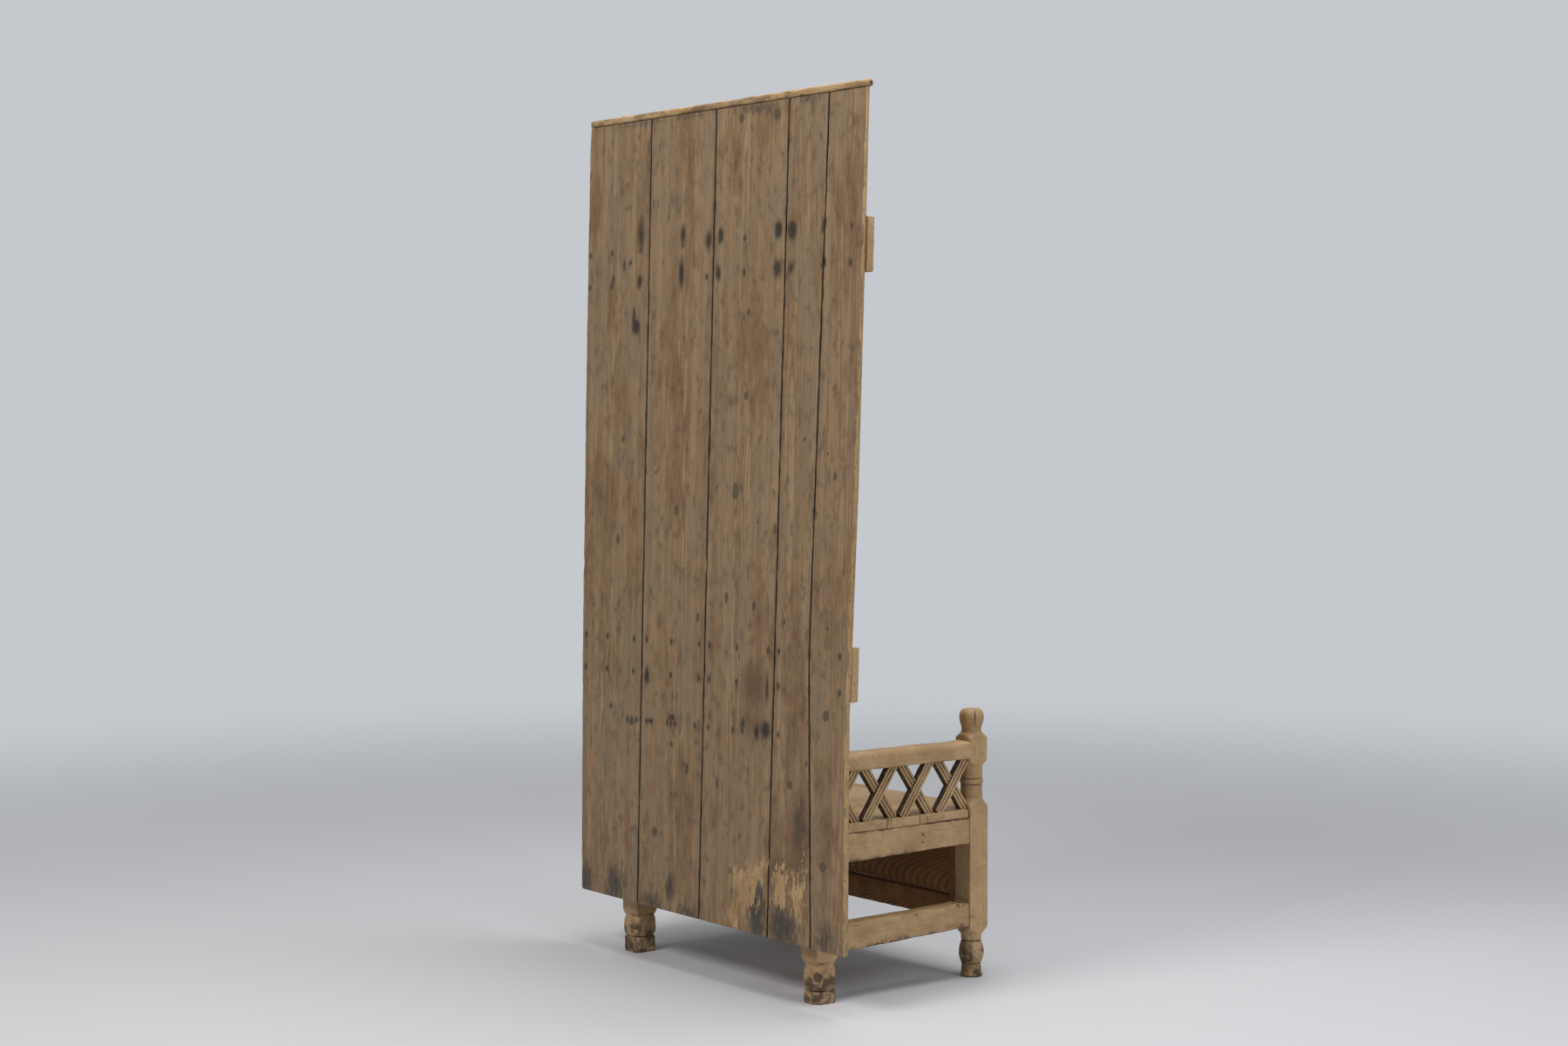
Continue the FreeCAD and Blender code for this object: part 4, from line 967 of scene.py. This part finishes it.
SIDES = {"left": 1, "right": -1}
for number, side in enumerate(SIDES):
    low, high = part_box(f"front_post_{side}")
    front_post(f"front_post_{side}", (low.x + high.x) / 2, (low.y + high.y) / 2, number + 1)

# %% [markdown]
# The cheek on top of a rear post is a slab with a round head. It is carried across its thickness: the
# outline of the head is a half circle over a square, shrunk a little at both faces to round its edges.

# %% Cheeks
PIVOT = frame["joints"][0]["pos_m"]


def cheek_rings(x_low, x_high, y, half, base):
    """Rings of a cheek: a square with a half-round head, shrunk at both faces by a quarter circle."""
    arc = np.linspace(0, np.pi, 40)
    down = np.linspace(PIVOT[2], base, 14)[1:]
    flat = np.concatenate([
        stacked(half * np.cos(arc), PIVOT[2] + half * np.sin(arc)),
        stacked(-half, down),
        stacked(np.linspace(-half, half, 12)[1:-1], base),
        stacked(half, down[::-1]),
    ])
    places = lengths(x_low, x_high, 0.006)
    reach = np.minimum(places - places[0], places[-1] - places)
    round_edge = 0.0035
    inset = round_edge - np.sqrt(round_edge ** 2 - np.maximum(round_edge - reach, 0) ** 2)
    middle = np.array([0, PIVOT[2] - 0.02])
    ring = middle + (flat - middle)[None] * (1 - inset / half)[:, None, None]
    rings = stacked(places[:, None], ring[..., 0] + y, ring[..., 1])
    return rings, np.broadcast_to(np.exp(-reach / WEAR_REACH)[:, None], rings.shape[:2])


REAR_Y = 0.227
CHEEK_THICK = 0.040
CHEEK_LOW = 0.598
for number, (side, sign) in enumerate(SIDES.items()):
    low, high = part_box(f"rear_post_{side}")
    outer = high.x if sign > 0 else low.x
    rings, wear, soil_and_shade, placed = rear_post(side, outer - sign * REAR_HALF, REAR_Y, number + 5)
    build(f"rear_post_{side}_surface", placed, "frame", [f"rear_post_{side}"], PAINT,
          marks_of(rings + number * 0.7, wear, soil_and_shade))
    cheek = sorted((outer, outer - sign * CHEEK_THICK))
    rings, wear = cheek_rings(*cheek, REAR_Y, REAR_HALF, CHEEK_LOW)
    build(f"cheek_{side}", rings, "frame", [f"rear_post_{side}"], PAINT, marks_of(rings, wear, 0.15))

# %% [markdown]
# ## Rails, stretchers and arms
#
# These run straight between the posts. A function takes the length and section of each as given numbers, the
# front panel's from its node's box, and turns the stick to lie along X or Y. The ends reach a little into the
# posts, which hide them. The foot stretcher of each side is worn round by shoes, so its outer top edge is cut
# back in waves.

# %% Rails and arms


def between(name, axis, section, ends, corner, seed, soil_and_shade=0.12, material=PAINT, shape=None):
    """A rail between two posts: section is (low, high) across and (low, high) up.

    Dark boards are sawn flat, so their grain's arches lie in their upright face. They are painted on the
    face that looks out of the bench only.
    """
    (across_low, across_high), (up_low, up_high) = section
    rings, wear = stick(lengths(*ends, 0.009), across_high - across_low, up_high - up_low,
                        corner, 0.0055, seed, 0.0006,
                        ((across_low + across_high) / 2, (up_low + up_high) / 2))
    grain = rings + seed * 0.13
    paint = np.zeros_like(wear)
    if material is DARK:
        middle = rings.mean(axis=(0, 1))
        grain = (rings - middle)[..., [1, 0, 2]] + np.array([0.035, 0, seed * 0.37])
        paint = np.clip(np.sign(middle[0]) * (rings[..., 0] - middle[0]) / 0.003 - 1, 0, 1)
    soils = np.full(wear.shape, soil_and_shade)
    if shape is not None:
        rings, wear, soils = shape(rings, wear, soils)
    across, up, along = np.moveaxis(rings, -1, 0)
    placed = stacked(across, along, up) if axis == "y" else stacked(along, across, up)
    build(f"{name}_surface", placed, "frame", [name], material, marks_of(grain, wear, soils, paint=paint))


FRONT_FACE = -0.231
REAR_FACE = 0.194
REACH = 0.006
SIDE_ENDS = (FRONT_FACE - REACH, REAR_FACE + REACH)
SEAT_RAIL_UP = (0.343, 0.407)
STRETCHER_UP = (0.127, 0.195)


def sloped(up, along, middle, low_rear, low_front, high_rear=0.0):
    """Heights of a member moved so that its lower and upper edges slope from the rear to the front."""
    part = np.clip((along - FRONT_FACE) / (REAR_FACE - FRONT_FACE), 0, 1)
    return up + np.where(up < middle, low_front + (low_rear - low_front) * part, high_rear * part)


TOP_PATCHES = ovals((-205, 195, 32, 11, 145), (-150, 188, 7, 4, 130), (-60, 186, 10, 4, 140),
                    (130, 186, 8, 3, 130))


def trodden(sign):
    """A shape for the foot stretchers: shoes wore the outer top edge down in uneven scoops."""
    def shape(rings, wear, soils):
        across, up, along = np.moveaxis(rings, -1, 0)
        top = np.clip((up - 0.172) / 0.023, 0, 1)
        outside = np.clip(0.5 + sign * (across - sign * 0.398) / 0.032, 0, 1)
        scoop = 0.0035 + 0.0030 * waves(rings * np.array([0, 0, 1]), 0.11, 77 + sign)
        scoop = scoop + 0.0015 * waves(rings, 0.018, 78)
        bump = np.exp(-((along + 0.205) / 0.022) ** 2) * (0.6 + 0.4 * waves(rings, 0.009, 79))
        rings = rings.copy()
        rings[..., 1] += top * (0.0035 * bump - outside * np.clip(scoop, 0, 0.009) * 1.2 * (1 - bump))
        rings[..., 0] -= sign * top ** 2 * outside ** 2 * np.clip(scoop, 0, 0.008)
        rings[..., 1] = sloped(rings[..., 1], along, np.mean(STRETCHER_UP), -0.009, 0.004, -0.005)
        worn = 0.25 * wear + 0.45 * top * outside * np.clip(waves(rings, 0.06, 80) + 0.2, 0, 1)
        dirt = np.clip(0.75 + waves(rings, 0.05, 81), 0, 1.5)
        low_edge = np.exp(-(up - STRETCHER_UP[0]) / 0.008) * dirt
        patches = spots(along, up, TOP_PATCHES) * np.clip(1 + waves(rings, 0.012, 82), 0, 1.2)
        return rings, worn, np.maximum(0.28 + 0.95 * low_edge, patches)
    return shape


def under_seat(rings, wear, soils):
    """A shape for the side rails: a packed joint under the seat boards, and dirt that ran down a gap."""
    across, up, along = np.moveaxis(rings, -1, 0)
    edge = SEAT_RAIL_UP[1] - 0.0008 - 0.0008 * np.clip(waves(rings * np.array([0, 0, 1]), 0.03, 83), 0, 1)
    joint = 1.7 * np.exp(-np.maximum(edge - up, 0) / 0.0011)
    drip_y = -0.079 + 0.0025 * waves(rings * np.array([0, 1, 0]), 0.02, 84)
    wet = np.clip(0.9 + 0.5 * waves(rings, 0.012, 85), 0, 1.2)
    drip = 1.25 * np.exp(-((along - drip_y) / 0.0032) ** 2) * wet
    low_edge = 0.7 * np.exp(-(up - SEAT_RAIL_UP[0]) / 0.006)
    rings = rings.copy()
    rings[..., 1] = sloped(up, along, np.mean(SEAT_RAIL_UP), -0.007, 0.0)
    return rings, 0.35 * wear, np.maximum(np.maximum(joint, drip), soils + low_edge)


for number, (side, sign) in enumerate(SIDES.items()):
    rail = tuple(sorted((sign * 0.382, sign * 0.414)))
    arm = tuple(sorted((sign * 0.364, sign * 0.416)))
    between(f"seat_rail_{side}", "y", (rail, SEAT_RAIL_UP), SIDE_ENDS, 0.0025, 10 + number, 0.22,
            shape=under_seat)
    between(f"stretcher_{side}", "y", (rail, STRETCHER_UP), SIDE_ENDS, 0.0045, 12 + number, 0.3,
            shape=trodden(sign))
    between(f"arm_rail_{side}", "y", (arm, (0.5575, 0.6015)), SIDE_ENDS, (0.004, 0.014), 14 + number, 0.02)

FRONT_ENDS = (-0.358 - REACH, 0.358 + REACH)
REAR_ENDS = (-0.348 - REACH, 0.348 + REACH)
FRONT_ACROSS = (-0.271, -0.237)
REAR_ACROSS = (0.211, 0.243)
between("seat_rail_front", "x", (FRONT_ACROSS, SEAT_RAIL_UP), FRONT_ENDS, 0.003, 16)
between("stretcher_front", "x", (FRONT_ACROSS, (0.138, 0.199)), FRONT_ENDS, 0.004, 17, 0.35, DARK)
between("seat_rail_rear", "x", (REAR_ACROSS, SEAT_RAIL_UP), REAR_ENDS, 0.003, 18, 0.2, DARK)
between("stretcher_rear", "x", (REAR_ACROSS, (0.150, 0.212)), REAR_ENDS, 0.004, 19, 0.3, DARK)
low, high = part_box("front_panel")
between("front_panel", "x", ((low.y, high.y), (low.z, high.z)), (low.x + 0.001, high.x - 0.001), 0.0012, 20,
        0.2, DARK)
for number, side in enumerate(SIDES):
    low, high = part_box(f"panel_strip_{side}")
    rings, wear = stick(lengths(low.z - 0.002, high.z + 0.002), high.x - low.x, high.y - low.y, 0.002, 0.005,
                        22 + number, 0.0004, ((low.x + high.x) / 2, (low.y + high.y) / 2))
    build(f"panel_strip_{side}_surface", rings, "frame", [f"panel_strip_{side}"], DARK,
          marks_of(rings, wear, 0.3))

# %% [markdown]
# ## Seat
#
# Three boards and two thin fillers run from side to side, over the side rails, and their ends show. The
# outer boards step in round the posts. A board's edge is then a function of how far along it we are: a
# step up or down at the face of the post.

# %% Seat boards
SEAT_END = 0.414
SEAT_UP = (0.407, 0.430)
BESIDE_NOTCH = 1e-4


def seat_board(name, near, far, notch, seed, corner=0.003):
    """A seat board from near to far; notch is (where it stops beside a post, half width between posts)."""
    places = lengths(-SEAT_END, SEAT_END, 0.008)
    if notch:
        stop, inner = notch
        steps = [face + gap for face in (-inner, inner) for gap in (-BESIDE_NOTCH, BESIDE_NOTCH)]
        places = np.sort(np.concatenate([places, steps]))
        edge = np.where(np.abs(places) < inner, far, stop)
    else:
        edge = np.full_like(places, far)
    low, high = np.minimum(near, edge), np.maximum(near, edge)
    middle = stacked((low + high) / 2, np.mean(SEAT_UP))
    rings, wear = stick(places, high - low, 0.023, corner, 0.007, seed, 0.0005, middle)
    across, up, along = np.moveaxis(rings, -1, 0)
    placed = stacked(along, across, up)
    soil_and_shade = 0.02 + 0.35 * np.exp(-(SEAT_END - np.abs(along)) / 0.008)
    build(f"{name}_surface", placed, "frame", [name], PAINT, marks_of(rings + seed * 0.2, wear * 0.3, soil_and_shade))


seat_board("seat_board_rear", 0.036, 0.2722, (0.1938, 0.348), 40)
seat_board("seat_board_front", -0.091, -0.297, (-0.2308, 0.358), 41, 0.005)
seat_board("seat_board_middle", -0.069, 0.021, None, 42)
seat_board("seat_filler_rear", 0.0218, 0.0352, None, 43, 0.0015)
seat_board("seat_filler_front", -0.0902, -0.0698, None, 44, 0.0015)

# %% [markdown]
# ## Lattice
#
# Under each arm four pairs of slats cross. Every slat was planed with two grooves, which leave three reeds,
# before it was cut to length, and each pair is half lapped. A slat is carried along its slant. Its outline
# has the two grooves on the outer face, and its depth steps in where its partner passes, with the rings
# slanted the partner's way so that the notch has the right edges.

# %% Lattice
SLAT = 0.0245
SLAT_DEPTH = 0.020
LATTICE_LOW, LATTICE_HIGH = 0.430, 0.563
LATTICE_LEAN = 0.046
CROSSINGS = [-0.183 + 0.118 * number for number in range(4)]
OUTER_X, PARTNER_X, LAP_X = 0.409, 0.403, 0.396
PAST_END = 1.06
LAP_STEP = 1e-3
GROOVE_AT, GROOVE_WIDE, GROOVE_DEEP = 0.0044, 0.0014, 0.0022


def slat(name, side, crossing, rising, seed):
    """A reeded slat: rings slanted along the partner slat, carried from the seat to the arm."""
    half_tall = (LATTICE_HIGH - LATTICE_LOW) / 2
    slant = np.array([-LATTICE_LEAN if rising else LATTICE_LEAN, half_tall])
    partner = slant * np.array([-1, 1])
    length = np.linalg.norm(slant)
    overlap = SLAT / (abs(slant[0] * partner[1] - slant[1] * partner[0]) / length)
    steps = np.array([0.5, overlap / 2 + LAP_STEP, overlap / 2])
    part = np.unique(np.concatenate([np.linspace(-PAST_END, PAST_END, 40), -steps, steps]))
    across = np.linspace(-1, 1, 27)
    count = len(across)
    groove = sum(np.exp(-((across * SLAT / 2 - at) / GROOVE_WIDE) ** 2) for at in (GROOVE_AT, -GROOVE_AT))
    shoulder = 0.0016 * np.clip((np.abs(across) - 0.86) / 0.14, 0, 1) ** 2
    outer_depth = -GROOVE_DEEP * np.clip(groove, 0, 1) - shoulder
    outer = OUTER_X if rising else PARTNER_X
    inner = outer - SLAT_DEPTH
    lapped = np.abs(part) <= overlap / 2 + LAP_STEP / 2
    face = np.where(lapped & (not rising), LAP_X, outer)
    back = np.where(lapped & rising, LAP_X, inner)
    ring_across = np.concatenate([across, across[::-1]])
    x = np.empty((len(part), len(ring_across)))
    x[:, :count] = face[:, None] + outer_depth * np.where(lapped & (not rising), 0, 1)[:, None]
    x[:, count:] = back[:, None] + shoulder[::-1]
    centre = np.array([crossing, (LATTICE_LOW + LATTICE_HIGH) / 2])
    flat = centre + part[:, None, None] * slant + ring_across[None, :, None] * partner * overlap / 2
    rings = stacked(side * x, np.clip(flat[..., 0], *SIDE_ENDS),
                    np.clip(flat[..., 1], LATTICE_LOW - 0.001, LATTICE_HIGH + 0.001))
    along = part[:, None] * length
    grain = stacked(ring_across * SLAT / 2 + seed * 0.17, np.abs(x), along)
    # Painted shade and dirt: the sides and back of the slat are darkened to dirty bare wood, which paints the
    # arm's shade on them; the dark in the grooves is dirt.
    face_dirt_and_shade = np.where(np.abs(across) > 0.98, 1.25, 0.10 + 2.2 * np.clip(groove, 0, 1) ** 1.5)
    soil_and_shade = np.concatenate([face_dirt_and_shade, np.full(count, 1.30)])
    wear = np.broadcast_to(0.4 * np.abs(ring_across) ** 8, x.shape)
    rings = rings + 0.0003 * waves(rings, 0.03, seed)[..., None]
    build(name, rings, "frame", [name.replace("reeded", "slat")], PAINT, marks_of(grain, wear, soil_and_shade))


for side_name, side_sign in SIDES.items():
    for number, crossing in enumerate(CROSSINGS, start=1):
        seed = number + side_sign * 20
        slat(f"reeded_rising_{number}_{side_name}", side_sign, crossing, True, seed + 50)
        slat(f"reeded_falling_{number}_{side_name}", side_sign, crossing, False, seed + 60)

# %% [markdown]
# ## Pieces that keep their solid
#
# The pegs, the pivot and the seat's nails have their right shape already, and mostly hide. They only need a
# finish. Their coordinates are the object's own, because these meshes carry none.

# %% Finish the kept solids
KEPT = {"frame_pegs": SOLID_PAINT, "pivot_bar": SOLID_PAINT, "pivot_pins": SOLID_PAINT, "seat_nails": IRON}
for node_name, finish in KEPT.items():
    kept = frame["nodes"][node_name]
    kept.data.materials.clear()
    kept.data.materials.append(finish)
print("kept solids are finished")

# %% [markdown]
# ## Floor and light
#
# A wide pale floor and large soft lights keep shadows soft, as in a studio. The key light stands high on the
# camera's left. The background stays pale because the world is brighter for rays that come from the camera,
# and far from the bench the floor fades into it, so no horizon shows.

# %% Floor and light
floor_mesh = bpy.data.meshes.new("floor")
SPAN = 40.0
corners = [(-SPAN, -SPAN, 0), (SPAN, -SPAN, 0), (SPAN, SPAN, 0), (-SPAN, SPAN, 0)]
floor_mesh.from_pydata(corners, [], [(0, 1, 2, 3)])
floor = add_object("floor", floor_mesh)
PALE = (0.56, 0.58, 0.61, 1)
FLOOR_GREY = (0.54, 0.54, 0.555, 1)
HAZE = (1.6, 6.5)
floor_material = bpy.data.materials.new("pale_floor")
floor_material.use_nodes = True
floor_tree = floor_material.node_tree
floor_shader = floor_tree.nodes["Principled BSDF"]
floor_shader.inputs["Base Color"].default_value = FLOOR_GREY
floor_shader.inputs["Roughness"].default_value = 0.55
middle = add(floor_tree, "TexCoord").outputs["Object"]
far = add(floor_tree, "VectorMath", {0: middle}, operation="LENGTH")
seen = add(floor_tree, "LightPath").outputs["Is Camera Ray"]
haze = product(floor_tree, seen, fade(floor_tree, far.outputs["Value"], *HAZE))
glow = add(floor_tree, "Emission", {"Color": PALE, "Strength": 1.0})
blend = add(floor_tree, "MixShader", {0: haze, 1: floor_shader.outputs[0], 2: glow.outputs[0]})
floor_tree.links.new(blend.outputs[0], floor_tree.nodes["Material Output"].inputs["Surface"])
floor_mesh.materials.append(floor_material)


WARM_WHITE = (1.0, 0.97, 0.93)


def soft_light(name, place, aim, size, power, colour=(1, 1, 1)):
    """A square area light at a place, turned to face another; its power is in watts."""
    data = bpy.data.lights.new(name, "AREA")
    data.size = size
    data.energy = power
    data.color = colour
    light = add_object(name, data)
    light.location = place
    light.rotation_euler = (Vector(aim) - Vector(place)).to_track_quat("-Z", "Y").to_euler()


soft_light("key", (-0.6, 4.6, 4.6), (0, 0.1, 0.9), 1.8, 192, WARM_WHITE)
soft_light("side", (-5.0, -0.8, 2.6), (0, 0, 0.8), 2.4, 80)
soft_light("top", (-0.6, -0.2, 4.6), (-0.2, 0, 0), 2.4, 145)

SKY = (0.80, 0.84, 0.90, 1)
world = bpy.data.worlds.new("studio")
bpy.context.scene.world = world
world.use_nodes = True
world_tree = world.node_tree
plain = world_tree.nodes["Background"]
plain.inputs["Color"].default_value = SKY
plain.inputs["Strength"].default_value = 0.34
backdrop = add(world_tree, "Background", {"Color": PALE, "Strength": 1.0})
rays = add(world_tree, "LightPath").outputs
seen = calc(world_tree, "MAXIMUM", rays["Is Camera Ray"], rays["Is Transmission Ray"])
choice = add(world_tree, "MixShader", {0: seen, 1: plain.outputs[0], 2: backdrop.outputs[0]})
world_tree.links.new(choice.outputs[0], world_tree.nodes["World Output"].inputs["Surface"])
bpy.context.scene.view_settings.view_transform = "Standard"
print("three soft lights and a pale world")
